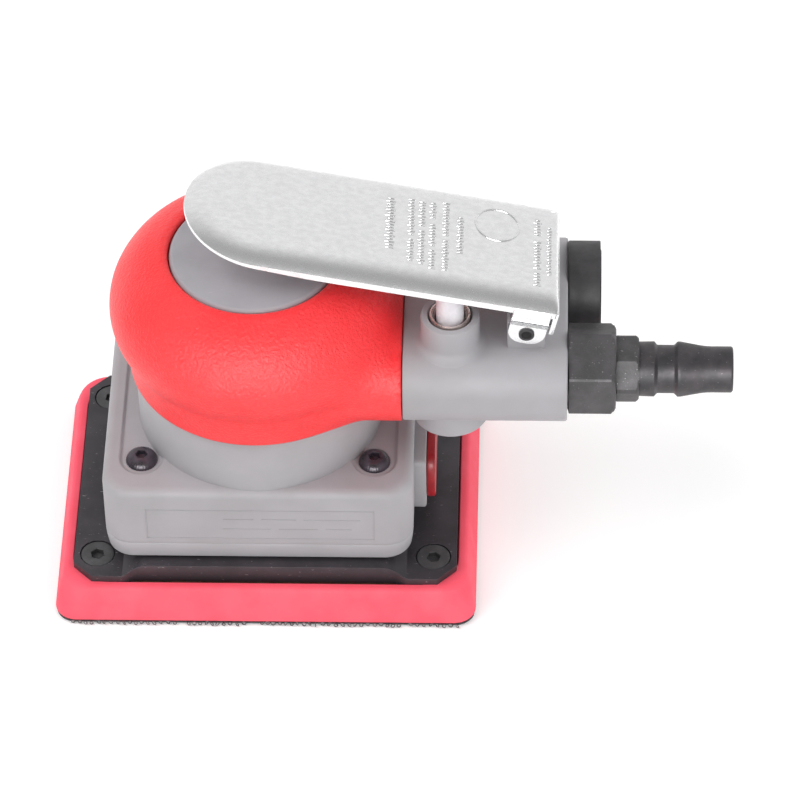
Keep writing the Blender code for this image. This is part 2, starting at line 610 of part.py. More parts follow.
def lever_skin(name, radius, tail_insets, start, finish=None):
    """The pressed sheet's outer or inner skin. Its edge rolls down round the
    same axis at EDGE_ROLL, and tail_insets take the square end in."""
    centre_inset, centre_height = EDGE_ROLL * math.sin(EDGE_TURN), LEVER_RISE - EDGE_ROLL
    sections = [start]
    for step, tail_inset in enumerate(tail_insets):
        angle = EDGE_TURN * (1 - step / (len(tail_insets) - 1))
        sections.append(lever_section(centre_inset - radius * math.sin(angle), tail_inset,
                                      centre_height + radius * math.cos(angle)))
    return loft(name, sections, finish)


EDGE_ROLL, EDGE_TURN = 8.0, math.radians(45)
EAR_HALF_WIDTH, EAR_DROP, EAR_CORNER, EAR_FACE = 4.4, 2.95, 3.4, 17.5


def build_lever():
    """The lever is drawn level about its pivot, then tilted."""
    sheet, trimmed = LEVER_SHEET, 5.68
    lever = lever_skin("lever", EDGE_ROLL, (0.0, 0.3, 1.1, 2.0), lever_section(0.0, 0.0, trimmed), bright_steel)
    hollow = lever_skin("lever_hollow", EDGE_ROLL - sheet, (sheet, sheet, sheet + 0.3, sheet + 1.0),
                        lever_section(-0.3, sheet, trimmed - 0.4))
    combine(lever, "DIFFERENCE", hollow)

    upright = Matrix.Rotation(math.radians(90), 4, "X")
    ear_top = 7.0
    ear = rounded(2 * EAR_HALF_WIDTH, ear_top + EAR_DROP, EAR_CORNER, 4, (0, (ear_top - EAR_DROP) / 2))
    for name, near in (("lever_ear_front", EAR_FACE - sheet), ("lever_ear_back", -EAR_FACE)):
        combine(lever, "UNION", prism(name, ear, near, near + sheet, None, turn=upright))
    combine(lever, "UNION", box("lever_rear_tab", (LEVER_TAIL - sheet, -15.0, 0.5), (LEVER_TAIL, 15.0, 7.6)))
    pin_way = disc("lever_pin_way", 2.1, -30, 30)
    pin_way.rotation_euler = (math.radians(90), 0, 0)
    combine(lever, "DIFFERENCE", pin_way)
    settled(lever)
    lever.location = Vector((PIVOT_X, 0, PIVOT_Z)) * MM
    lever.rotation_euler = (0, math.radians(LEVER_SLOPE), 0)

    pin = ring("lever_pin", 1.0, 1.8, -17.9, 17.9, black_oxide)
    pin.rotation_euler = (math.radians(90), 0, 0)
    pin.location = Vector((PIVOT_X, 0, PIVOT_Z)) * MM


# ---------------------------------------------------------------- air line

def build_inlet():
    """A hexagon bushing in the handle, a strainer, and the quick-connect plug."""
    at = Vector((0, -PORT_Y, HANDLE_Z)) * MM
    level = Matrix.Translation(at) @ Matrix.Rotation(math.radians(90), 4, "Y")

    def hexagon(name, flats, turn, start, end, finish=None):
        made = hex_cutter(name, flats, start, end)
        made.data.transform(level @ Matrix.Rotation(math.radians(turn), 4, "Z"))
        if finish is not None:
            cutters.objects.unlink(made)
            parts.objects.link(made)
            made.hide_render = False
            made.display_type = "TEXTURED"
            made.data.materials.append(finish)
        return made

    def barrel(name, profile, finish=None, steps=MID_ROUND):
        made = along_x(turned(name, profile, finish, steps=steps))
        made.location = at
        return made

    hex_start, hex_end = HANDLE_END_X + GAP, 83.4
    bushing = hexagon("inlet_bushing", 19.0, 0, hex_start, hex_end, black_oxide)
    combine(bushing, "UNION", barrel("bushing_thread", [(0, 74), (6.5, 74), (6.5, 58), (0, 58)]))
    combine(bushing, "INTERSECT", barrel("bushing_chamfer", [(0, hex_end), (9.2, hex_end), (10.5, hex_end - 1.4),
                                                             (10.5, 50), (0, 50)]))
    combine(bushing, "DIFFERENCE", barrel("bushing_bore", [(0, 90), (5.0, 90), (5.0, 73.5), (3.4, 73.5), (3.4, 50),
                                                           (0, 50)]))

    strainer = barrel("inlet_strainer", [(0, 74.6), (4.7, 74.6), (4.7, 73.9), (0, 73.9)], ground_steel)
    holes = [(0.0, 0.0)] + [(2.6 * math.cos(math.radians(60 * i)), 2.6 * math.sin(math.radians(60 * i)))
                            for i in range(6)]
    for number, (y, z) in enumerate(holes):
        hole = along_x(disc(f"strainer_hole_{number}", 0.8, 70, 80, steps=8))
        hole.location = at + Vector((0, y, z)) * MM
        combine(strainer, "DIFFERENCE", hole)

    plug = hexagon("plug_nipple", 14.0, 28, hex_end + GAP, 88.7, black_oxide)
    nose = [(0, 110.4), (5.0, 110.4), (5.35, 110.0), (5.35, 104.0), (6.4, 98.2), (6.4, 97.6), (5.6, 96.8), (5.6, 92.9),
            (6.4, 92.2), (6.4, 88.0), (4.7, 88.0), (4.7, 75.0), (0, 75.0)]
    combine(plug, "UNION", barrel("plug_body", nose))
    combine(plug, "DIFFERENCE", barrel("plug_bore", [(0, 120), (2.9, 120), (2.9, 60), (0, 60)], steps=SMALL_ROUND))


def build_muffler():
    """A sleeve in the handle's rear bore, with open-cell foam in it."""
    at = Vector((0, PORT_Y, HANDLE_Z)) * MM
    face, end = HANDLE_END_X + GAP, 79.8
    sleeve = along_x(turned("muffler_sleeve", [(11.5, end), (11.5, face), (7.1, face), (7.1, 60.0), (6.1, 60.0),
                                               (6.1, 75.6), (9.8, 75.6), (9.8, end)], black_plastic, steps=MID_ROUND))
    sleeve.location = at
    foam = along_x(turned("muffler_foam", [(0, end + 0.2), (9.4, end + 0.2), (9.4, 76.0), (5.8, 76.0), (5.8, 62.0),
                                           (0, 62.0)], black_foam, steps=MID_ROUND))
    foam.location = at


build_pad()
build_motor()
build_motor_housing()
build_grip_cover()
build_skirt()
build_skirt_fasteners()
build_isolator_posts()
build_port_plug()
build_valve()
build_lever()
build_inlet()
build_muffler()
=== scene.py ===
"""The looks of a pneumatic palm orbital sander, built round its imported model.

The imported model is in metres. The sections below work in millimetres and turn
them into metres where a mesh is made. They follow the tool as it is put
together, from the pad up.
"""

import math

import bmesh
import bpy
import numpy as np
from mathutils import Matrix, Vector


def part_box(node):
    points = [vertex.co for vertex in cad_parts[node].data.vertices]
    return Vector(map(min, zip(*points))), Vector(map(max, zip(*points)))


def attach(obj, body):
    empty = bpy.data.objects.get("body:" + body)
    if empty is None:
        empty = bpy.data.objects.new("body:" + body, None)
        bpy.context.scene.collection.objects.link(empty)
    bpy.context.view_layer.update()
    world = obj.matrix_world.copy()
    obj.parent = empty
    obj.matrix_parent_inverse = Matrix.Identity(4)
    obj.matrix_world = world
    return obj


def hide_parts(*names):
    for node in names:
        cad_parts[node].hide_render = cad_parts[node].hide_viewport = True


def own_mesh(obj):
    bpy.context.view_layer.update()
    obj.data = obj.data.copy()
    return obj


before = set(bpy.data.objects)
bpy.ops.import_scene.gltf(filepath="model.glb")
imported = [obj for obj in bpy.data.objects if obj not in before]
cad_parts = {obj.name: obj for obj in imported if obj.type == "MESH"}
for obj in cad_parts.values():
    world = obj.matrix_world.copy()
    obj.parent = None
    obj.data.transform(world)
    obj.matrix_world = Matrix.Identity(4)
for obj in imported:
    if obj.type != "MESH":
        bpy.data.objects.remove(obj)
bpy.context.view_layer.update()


# ---------------------------------------------------------------- camera
# A long lens looks down at the valve side, almost square to the pad's long
# side and rolled by a degree.

down, aside, roll = math.radians(45.671), math.radians(2.374), math.radians(1.209)
lens = bpy.data.cameras.new("bench_lens")
lens.sensor_width, lens.lens, lens.clip_end = 36.0, 229.2, 20.0
eye = bpy.data.objects.new("bench_camera", lens)
eye.matrix_world = (Matrix.Translation((0.067663, -0.841101, 0.900181)) @ Matrix.Rotation(aside, 4, "Z")
                    @ Matrix.Rotation(math.radians(90) - down, 4, "X") @ Matrix.Rotation(-roll, 4, "Z"))
bpy.context.scene.collection.objects.link(eye)
bpy.context.scene.camera = eye


# ---------------------------------------------------------------- studio
# A white floor, wide soft lights that bare metal doesn't mirror, and a sky that
# it does: bright behind the tool, dull overhead and in front.

bpy.context.scene.view_settings.view_transform = "Standard"


def node(tree, kind, **values):
    """A shader node with some inputs or settings given by name."""
    made = tree.nodes.new(kind)
    for name, value in values.items():
        if hasattr(made, name):
            setattr(made, name, value)
        else:
            made.inputs[name.replace("_", " ")].default_value = value
    return made


def make_sky():
    """A sky whose grey rises from the front to the back and is white at the
    horizon, by smooth steps of the view's direction."""
    sky = bpy.data.worlds.new("studio_sky")
    sky.use_nodes = True
    tree = sky.node_tree
    links = tree.links
    where = node(tree, "ShaderNodeTexCoord")
    split = node(tree, "ShaderNodeSeparateXYZ")
    links.new(where.outputs["Generated"], split.inputs[0])
    behind = node(tree, "ShaderNodeMapRange", interpolation_type="SMOOTHSTEP", From_Min=-0.25, From_Max=0.75,
                  To_Min=0.40, To_Max=0.90)
    links.new(split.outputs["Y"], behind.inputs["Value"])
    low = node(tree, "ShaderNodeMapRange", interpolation_type="SMOOTHSTEP", From_Min=0.22, From_Max=-0.02,
               To_Min=0.0, To_Max=1.0)
    links.new(split.outputs["Z"], low.inputs["Value"])
    lift = node(tree, "ShaderNodeMath", operation="MAXIMUM")
    links.new(behind.outputs[0], lift.inputs[0])
    links.new(low.outputs[0], lift.inputs[1])
    back = tree.nodes["Background"]
    links.new(lift.outputs[0], back.inputs["Color"])
    back.inputs["Strength"].default_value = 1.0
    bpy.context.scene.world = sky


make_sky()


def soft_light(name, place, width, watts):
    """A square lamp at place, in metres, that looks at the tool."""
    lamp = bpy.data.lights.new(name, "AREA")
    lamp.shape, lamp.size, lamp.energy = "SQUARE", width, watts
    hung = bpy.data.objects.new(name, lamp)
    towards = Vector(place) - Vector((0.02, 0, 0.05))
    hung.location = place
    hung.rotation_euler = towards.to_track_quat("Z", "Y").to_euler()
    hung.visible_glossy = False
    bpy.context.scene.collection.objects.link(hung)
    return hung


soft_light("lamp_left", (-0.75, -0.25, 1.1), 0.8, 8.5)
soft_light("lamp_right", (0.8, -0.5, 0.8), 0.8, 5.5)
soft_light("lamp_front", (0.1, -0.9, 1.1), 0.8, 1.2)

soft_box = soft_light("soft_box", (-0.15, -1.4, 0.55), 1.4, 31.0)
soft_box.data.shape, soft_box.data.size_y = "RECTANGLE", 0.7
soft_box.visible_glossy, soft_box.visible_diffuse = True, False

floor_mesh = bpy.data.meshes.new("bench_top")
floor_mesh.from_pydata([(-3, -3, 0), (3, -3, 0), (3, 3, 0), (-3, 3, 0)], [], [(0, 1, 2, 3)])
floor = bpy.data.objects.new("bench_top", floor_mesh)
floor.location.z = -0.0002
white = bpy.data.materials.new("white_bench")
white.use_nodes = True
white_shader = white.node_tree.nodes["Principled BSDF"]
white_shader.inputs["Base Color"].default_value = (0.9, 0.9, 0.9, 1)
white_shader.inputs["Roughness"].default_value = 0.9
white_shader.inputs["Specular IOR Level"].default_value = 0.1
white_shader.inputs["Emission Color"].default_value = (1, 1, 1, 1)
white_shader.inputs["Emission Strength"].default_value = 0.22
floor_mesh.materials.append(white)
bpy.context.scene.collection.objects.link(floor)


# ---------------------------------------------------------------- pad foam
# A moulded block of pink-red polyurethane foam. It flares from a ledge round
# the plate to the 100 x 75 mm face, and its lower edge is rounded. The mould
# leaves a closed skin with a faint mottle.

MM = 0.001


def linear(red, green, blue):
    """A colour of 0 to 255 display values as linear RGBA."""
    shown = np.array([red, green, blue]) / 255
    light = np.where(shown <= 0.04045, shown / 12.92, ((shown + 0.055) / 1.055) ** 2.4)
    return (*[float(v) for v in light], 1.0)


def moulded(name, dark, light, patch, grain, depth, gloss, metal=0.0, stretch=(1, 1, 1), fine=0.0):
    """A finish whose colour wanders from dark to light over patches of a size
    in mm, with a relief of grains of a size and depth in mm. gloss is the
    roughness where the colour is dark and where it is light. stretch below 1
    draws both out along an axis; fine adds octaves to the grains."""
    made = bpy.data.materials.new(name)
    made.use_nodes = True
    tree = made.node_tree
    links = tree.links
    shader = tree.nodes["Principled BSDF"]
    shader.inputs["Metallic"].default_value = metal
    where = node(tree, "ShaderNodeTexCoord")
    lay = node(tree, "ShaderNodeMapping")
    lay.inputs["Scale"].default_value = stretch
    links.new(where.outputs["Object"], lay.inputs["Vector"])

    def cloud(size, detail, rough):
        noise = node(tree, "ShaderNodeTexNoise", Scale=1 / (size * MM), Detail=detail, Roughness=rough)
        links.new(lay.outputs[0], noise.inputs["Vector"])
        return noise

    patches = cloud(patch, 3.0, 0.55)
    ramp = node(tree, "ShaderNodeValToRGB")
    ramp.color_ramp.elements[0].position, ramp.color_ramp.elements[0].color = 0.36, dark
    ramp.color_ramp.elements[1].position, ramp.color_ramp.elements[1].color = 0.64, light
    links.new(patches.outputs["Fac"], ramp.inputs["Fac"])
    links.new(ramp.outputs["Color"], shader.inputs["Base Color"])
    shine = node(tree, "ShaderNodeMapRange", From_Min=0.3, From_Max=0.7, To_Min=gloss[0], To_Max=gloss[1])
    links.new(patches.outputs["Fac"], shine.inputs["Value"])
    links.new(shine.outputs[0], shader.inputs["Roughness"])
    grains = cloud(grain, 2.0 + fine, 0.6)
    relief = node(tree, "ShaderNodeBump", Strength=1.0, Distance=depth * MM)
    links.new(grains.outputs["Fac"], relief.inputs["Height"])
    links.new(relief.outputs[0], shader.inputs["Normal"])
    return made


def skin(name, grid, finish, ends="flat", crease=35):
    """A surface through rows x columns x 3 points in mm. Each row is a closed
    loop; ends "flat" closes the first and last loops with a face."""
    rows, columns = grid.shape[:2]
    one, other = np.arange(columns), np.roll(np.arange(columns), -1)
    row = np.arange(rows - 1)[:, None] * columns
    quads = np.stack([row + one, row + other, row + other + columns, row + one + columns], axis=-1).reshape(-1, 4)
    faces = quads.tolist()
    if ends == "flat":
        faces += [one[::-1].tolist(), (one + (rows - 1) * columns).tolist()]
    mesh = bpy.data.meshes.new(name)
    mesh.from_pydata((grid.reshape(-1, 3) * MM).tolist(), [], faces)
    return finished(name, mesh, finish, crease)


def finished(name, mesh, finish, crease=35):
    """An object from a mesh, merged, with its faces out and its creases kept."""
    shape = bmesh.new()
    shape.from_mesh(mesh)
    bmesh.ops.remove_doubles(shape, verts=shape.verts, dist=2e-6)
    bmesh.ops.dissolve_degenerate(shape, edges=shape.edges, dist=1e-6)
    bmesh.ops.recalc_face_normals(shape, faces=shape.faces)
    shape.to_mesh(mesh)
    shape.free()
    mesh.shade_smooth()
    mesh.set_sharp_from_angle(angle=math.radians(crease))
    mesh.materials.clear()
    mesh.materials.append(finish)
    made = bpy.data.objects.new(name, mesh)
    bpy.context.scene.collection.objects.link(made)
    return made


def round_plan(length, width, radius, corner_steps, centre=(0.0, 0.0)):
    """A rectangle with round corners: each corner is a quarter circle."""
    turn = np.linspace(0, math.pi / 2, corner_steps + 1)
    loops = []
    for quarter, (sx, sy) in enumerate(((1, 1), (-1, 1), (-1, -1), (1, -1))):
        angle = turn + quarter * math.pi / 2
        loops.append(np.stack([centre[0] + sx * (length / 2 - radius) + radius * np.cos(angle),
                               centre[1] + sy * (width / 2 - radius) + radius * np.sin(angle)], axis=-1))
    return np.concatenate(loops)


def eased(outline, radii, steps=5):
    """An open outline with each inner corner cut back and bent through a
    parabola, so that an edge of any section comes out rounded."""
    outline = np.array(outline, float)
    bent = [outline[:1]]
    t = np.linspace(0, 1, steps + 1)[:, None]
    radii = np.broadcast_to(radii, len(outline) - 2)
    for before, corner, after, radius in zip(outline, outline[1:], outline[2:], radii):
        one, other = before - corner, after - corner
        lengths = np.linalg.norm(one), np.linalg.norm(other)
        start = corner + one * min(radius / lengths[0], 0.49)
        end = corner + other * min(radius / lengths[1], 0.49)
        bent.append((1 - t) ** 2 * start + 2 * t * (1 - t) * corner + t ** 2 * end)
    bent.append(outline[-1:])
    return np.concatenate(bent)


def level(plan, height):
    """The points of a plan at one height, or at a height for each."""
    return np.column_stack([plan, np.broadcast_to(height, len(plan))])


def flared(plan_at, section):
    """Loops of a plan that depends on an inset, stacked at the heights of a
    section of (inset, height) points."""
    return np.stack([level(plan_at(inset), height) for inset, height in section])


PAD_X = 1.2  # the pad stands this far to the right of the shaft


def foam_plan(inset):
    """The pad's plan, whose corner radius grows by 0.9 for each mm of inset."""
    return round_plan(100 - 2 * inset, 75 - 2 * inset, 5.0 + 0.9 * min(inset, 4.0), 12, (PAD_X, 0))


foam_section = eased([(6.0, 0.9), (0.6, 0.9), (0.0, 1.3), (1.75, 8.4), (2.4, 10.15), (4.3, 10.2), (4.3, 6.95)],
                     (0.3, 0.45, 2.4, 1.7, 0.3), 7)
foam_finish = moulded("pink_foam_skin", linear(251, 84, 104), linear(254, 92, 112), 9.0, 0.7, 0.06, (0.8, 0.68),
                      fine=2)
foam = skin("foam_block", flared(foam_plan, foam_section), foam_finish)
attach(foam, "pad")
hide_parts("pad_foam")


# ---------------------------------------------------------------- hook sheet
# The sheet that grips the abrasive: a woven backing glued under the foam, with
# rows of small moulded loops. Those along its edge curl out past the foam.

hook_finish = moulded("hook_weave", linear(38, 36, 38), linear(70, 66, 68), 0.9, 0.35, 0.12, (0.9, 0.7), fine=2)
loop_finish = moulded("hook_loops", linear(60, 56, 58), linear(150, 144, 146), 1.1, 0.3, 0.02, (0.35, 0.25))


def sheet_plan(inset):
    """The hook sheet's plan, a little smaller than the foam's face."""
    return round_plan(99.3 - 2 * inset, 74.3 - 2 * inset, 4.6, 12, (PAD_X, 0))


backing = skin("hook_backing", flared(sheet_plan, [(0.9, 0.0), (0.3, 0.12), (0.0, 0.35), (0.0, 0.88), (4.0, 0.9)]),
               hook_finish)
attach(backing, "pad")
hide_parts("hook_face")


def torus_angles(around, across):
    """The two angles of each point of a torus, as two grids."""
    return np.meshgrid(np.linspace(0, 2 * math.pi, around, endpoint=False),
                       np.linspace(0, 2 * math.pi, across, endpoint=False), indexing="ij")


def wrapped(around, across, first=0):
    """The quads of a grid of points that closes on itself both ways."""
    index = np.arange(around * across).reshape(around, across) + first
    return np.stack([index, np.roll(index, -1, 0), np.roll(np.roll(index, -1, 0), -1, 1), np.roll(index, -1, 1)],
                    axis=-1).reshape(-1, 4)


def edge_loops(name, finish):
    """Rings of wire, each a torus from two angles, set at uneven steps along
    the pad's front and back edges with their planes about upright."""
    random = np.random.default_rng(7)
    edges = np.array([[[-47.6, -37.0], [50.0, -37.0]], [[50.0, 37.0], [-47.6, 37.0]]])
    centres, headings = [], []
    for corner, after in edges:
        run = np.linalg.norm(after - corner)
        along = np.cumsum(random.uniform(1.25, 1.75, int(run)))
        along = along[(along > 2.5) & (along < run - 2.5)]
        along = along[np.sin(along * 0.37) + 0.8 * random.random(len(along)) > -0.65]
        step = (after - corner) / run
        out = np.array([step[1], -step[0]])
        centres.append(corner + along[:, None] * step + out * random.uniform(0.35, 0.8, len(along))[:, None])
        headings.append(np.full(len(along), math.atan2(step[1], step[0])) + random.normal(0, 0.45, len(along)))
    centres, headings = np.concatenate(centres), np.concatenate(headings)
    long_way, short_way = 10, 5
    around, tube = torus_angles(long_way, short_way)
    ring, wire = random.uniform(0.36, 0.48, len(centres))[:, None, None], 0.15
    across = (ring + wire * np.cos(tube)) * np.cos(around)
    high = (ring + wire * np.cos(tube)) * np.sin(around)
    thick = np.broadcast_to(wire * np.sin(tube), across.shape)
    turn = headings[:, None, None]
    lift = random.uniform(0.5, 0.62, len(centres))[:, None, None]
    points = np.stack([centres[:, 0, None, None] + across * np.cos(turn) - thick * np.sin(turn),
                       centres[:, 1, None, None] + across * np.sin(turn) + thick * np.cos(turn),
                       lift + high], axis=-1)
    starts = long_way * short_way * np.arange(len(centres))[:, None, None]
    faces = (wrapped(long_way, short_way)[None] + starts).reshape(-1, 4)
    mesh = bpy.data.meshes.new(name)
    mesh.from_pydata((points.reshape(-1, 3) * MM).tolist(), [], faces.tolist())
    return finished(name, mesh, finish, 80)


loops = edge_loops("hook_loops", loop_finish)
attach(loops, "pad")


# ---------------------------------------------------------------- base plate
# An anodised aluminium plate over a fibre board. Its middle deck is left proud
# by milling both ends down along a ramp; brushing leaves bright scratches and
# specks of dust on the black.

def worn(name, body, bare, edge, scratch, gloss, metal, size=6.0, lay=(1, 1, 1), depth=0.02, grain=0.35):
    """A finish that wanders from body to edge, worn to a bare colour in specks
    and short scratches that lay draws out. scratch is how bare they are."""
    made = moulded(name, body, edge, size, grain, depth, gloss, metal, fine=2)
    tree = made.node_tree
    links = tree.links
    shader = tree.nodes["Principled BSDF"]
    under = shader.inputs["Base Color"].links[0].from_socket
    where = node(tree, "ShaderNodeTexCoord")
    drawn = node(tree, "ShaderNodeMapping")
    drawn.inputs["Scale"].default_value = lay
    links.new(where.outputs["Object"], drawn.inputs["Vector"])
    streaks = node(tree, "ShaderNodeTexNoise", Scale=1 / (0.5 * MM), Detail=4.0, Roughness=0.7)
    links.new(drawn.outputs[0], streaks.inputs["Vector"])
    keep = node(tree, "ShaderNodeMapRange", interpolation_type="SMOOTHSTEP", From_Min=0.655, From_Max=0.70,
                To_Min=0.0, To_Max=scratch)
    links.new(streaks.outputs["Fac"], keep.inputs["Value"])
    mix = node(tree, "ShaderNodeMix", data_type="RGBA")
    links.new(keep.outputs[0], mix.inputs["Factor"])
    links.new(under, mix.inputs["A"])
    mix.inputs["B"].default_value = bare
    links.new(mix.outputs["Result"], shader.inputs["Base Color"])
    return made


def kept(name, finish):
    """A CAD node left in place with a finish."""
    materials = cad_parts[name].data.materials
    materials.clear()
    materials.append(finish)


def merged(name, source, finish, edge_finish, break_width):
    """A copy of a CAD node with its loose triangles joined into faces and its
    edges broken by a bevel."""
    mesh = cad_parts[source].data.copy()
    mesh.name = name
    shape = bmesh.new()
    shape.from_mesh(mesh)
    bmesh.ops.remove_doubles(shape, verts=shape.verts, dist=5e-6)
    bmesh.ops.dissolve_limit(shape, angle_limit=math.radians(1.0), verts=shape.verts, edges=shape.edges)
    sharp = [edge for edge in shape.edges if edge.is_manifold and edge.calc_face_angle(0) > math.radians(24)]
    bmesh.ops.bevel(shape, geom=sharp, offset=break_width * MM, segments=2, profile=0.5, affect="EDGES",
                    clamp_overlap=True, material=1)
    shape.to_mesh(mesh)
    shape.free()
    made = finished(name, mesh, finish, 20)
    mesh.materials.append(edge_finish)
    return made


anodised = worn("black_anodised", linear(58, 55, 59), linear(190, 186, 190), linear(69, 65, 70), 0.5,
                (0.5, 0.38), 0.35, 9.0, (0.25, 1, 1))
bare_edge = worn("bare_plate_edge", linear(84, 78, 86), linear(214, 212, 216), linear(120, 114, 122), 0.9,
                 (0.45, 0.35), 0.4, 2.2, (0.5, 1, 1))
plate = merged("milled_plate", "base_plate", anodised, bare_edge, 0.16)
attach(plate, "pad")
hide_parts("base_plate")
kept("pad_backing_board", moulded("fibre_board", linear(70, 52, 40), linear(96, 74, 58), 3.0, 0.5, 0.03, (0.8, 0.7)))


# ---------------------------------------------------------------- screws
# Black-oxide hexagon-socket screws. Those of the plate are countersunk and
# flush; those of the skirt are button heads with a knurled flank.

oxide = worn("black_oxide", linear(56, 51, 57), linear(150, 145, 155), linear(80, 72, 82), 0.35, (0.26, 0.34), 0.2, 2.5)
dull_oxide = worn("dull_black_oxide", linear(66, 66, 67), linear(160, 160, 162), linear(80, 79, 81), 0.4,
                  (0.42, 0.36), 0.3, 3.0, depth=0.015)
CORNERS = ((-1, -1), (-1, 1), (1, -1), (1, 1))
SCREW_X, SCREW_Y = 27.3, 18.7  # of the skirt's screws and the posts under them


def hexagon_radius(flats, around):
    """How far a hexagon's outline is from its middle at each angle."""
    return (flats / 2) / np.cos((around + math.pi / 6) % (math.pi / 3) - math.pi / 6)


def socket_screw(name, finish, place, shape, socket, low, knurl, turn):
    """A screw from the axis out: loops run from the socket's floor up its six
    walls, then over the head as circles of a section of (radius, height). The
    flank of a knurled head waves by a cosine of the angle."""
    around = np.linspace(0, 2 * math.pi, 96, endpoint=False)
    along, across = np.cos(around + turn), np.sin(around + turn)
    wall = hexagon_radius(socket, around)
    rows = [(0.02 * wall, low - 0.25), (0.75 * wall, low), (wall, low + 0.05), (wall, shape[0][1] - 0.12),
            (wall + 0.14, shape[0][1])]
    rows += [(radius + (knurl * np.cos(32 * around) if knurl and radius > 0.7 * shape[-1][0] else 0 * around), height)
             for radius, height in shape]
    grid = np.stack([level(np.column_stack([place[0] + radius * along, place[1] + radius * across]), height)
                     for radius, height in rows])
    return skin(name, grid, finish, crease=38)


countersunk = eased([(1.75, 11.95), (3.8, 11.95), (3.95, 11.85), (3.95, 11.5), (2.0, 9.7), (2.0, 8.4)],
                    (0.3, 0.1, 0.1, 0.2), 2)
for number, ((sx, sy), turn) in enumerate(zip(CORNERS, (0.2, 0.9, 0.75, 0.35)), 1):
    screw = socket_screw(f"plate_screw_head_{number}", dull_oxide, (PAD_X + sx * 39.8, sy * 25.9), countersunk, 2.9,
                         10.55, 0.0, turn)
    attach(screw, "pad")
    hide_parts(f"plate_screw_{number}")

button = eased([(1.55, 38.75), (2.2, 38.7), (3.2, 38.05), (3.72, 37.1), (3.74, 36.62), (2.0, 36.6), (2.0, 30.0)],
               (0.3, 0.8, 0.7, 0.2, 0.2), 3)
for number, ((sx, sy), turn) in enumerate(zip(CORNERS, (0.5, 0.1, 0.3, 0.8)), 1):
    screw = socket_screw(f"skirt_screw_head_{number}", oxide, (sx * SCREW_X, sy * SCREW_Y), button, 2.5, 37.4, 0.05,
                         turn)
    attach(screw, "housing")
    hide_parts(f"skirt_screw_{number}")


# ---------------------------------------------------------------- skirt
# A glass-filled nylon box in light grey, moulded with a collar for the motor
# and long pockets for its screws. A raised lip runs round its lower edge, and a
# plain frame of fine ribs with dashes in it stands on the front.

grey = moulded("grey_moulding", linear(163, 161, 164), linear(169, 167, 171), 14.0, 0.6, 0.03, (0.66, 0.56), fine=2)


def skirt_shell():
    """Loops of the rounded rectangle. The top runs from the collar out to the
    edge at 37.6 less 0.85 s, where s steps smoothly from 0 outside a pocket (a
    segment grown by 5.45) to 1 inside; then a quarter round and the wall. The
    last loop is the first, so that the shell closes round its hollow."""
    plan = round_plan(72.7, 60.0, 6.5, 26)
    sides = []
    for one, other in zip(plan, np.roll(plan, -1, axis=0)):
        steps = max(1, int(np.linalg.norm(other - one) / 0.6))
        sides.append(one + (other - one) * np.arange(steps)[:, None] / steps)
    plan = np.concatenate(sides)
    angle = np.arctan2(plan[:, 1], plan[:, 0])
    collar = 28.6 * np.column_stack([np.cos(angle), np.sin(angle)])

    def shrunk(inset):
        return plan * (1 - inset / np.array([36.35, 30.0]))

    rows = []
    for share in np.linspace(0, 1, 44):
        flat = collar + (shrunk(2.1) - collar) * share
        apart = np.abs(flat[:, 0]) - SCREW_X
        beyond = np.maximum(np.abs(flat[:, 1]) - SCREW_Y, 0)
        step = np.clip((5.45 - np.hypot(apart, beyond)) / 0.9, 0, 1)
        rows.append(level(flat, 37.6 - 0.85 * step * step * (3 - 2 * step)))
    for turn in np.linspace(0.12, math.pi / 2, 8):
        rows.append(level(shrunk(2.1 - 2.1 * math.sin(turn)), 35.5 + 2.1 * math.cos(turn)))
    for height in np.concatenate([np.linspace(35.0, 32.2, 5), np.linspace(31.9, 31.3, 5), np.linspace(30, 23.4, 6),
                                  np.linspace(22.4, 21.8, 5),
                                  (21.2, 20.5, 20.3, 20.1, 19.9, 19.7, 18.0, 16.2, 15.7, 15.5)]):
        lip = 0.18 * math.exp(-((height - 20.1) / 0.22) ** 2) + 0.45 * max(0, (20.1 - height) / 4.6) ** 1.5
        rows.append(level(shrunk(lip), height))
    rows += [level(shrunk(inset), height)
             for inset, height in ((0.8, 15.4), (2.2, 15.5), (2.6, 16.0), (2.6, 30.5), (3.2, 31.5))]
    rows += [level(collar, 31.7), rows[0]]
    return skin("skirt_shell", np.stack(rows), grey, "open", 50)


skirt = skirt_shell()
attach(skirt, "housing")
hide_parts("skirt")


def lathe(name, profile, finish, place=(0, 0), steps=96, crease=35, axis="Z"):
    """A profile of (radius, height) points turned round an upright axis, or
    round one along X at (y, z)."""
    around = np.linspace(0, 2 * math.pi, steps, endpoint=False)
    profile = np.array(profile, float)
    radius, height = np.maximum(profile[:, :1], 0.004), np.repeat(profile[:, 1:], steps, axis=1)
    grid = np.stack([radius * np.cos(around), radius * np.sin(around), height], axis=-1)
    if axis == "X":
        grid = grid[..., [2, 0, 1]] + (0, *place)
    else:
        grid = grid + (*place, 0)
    return skin(name, grid, finish, crease=crease)


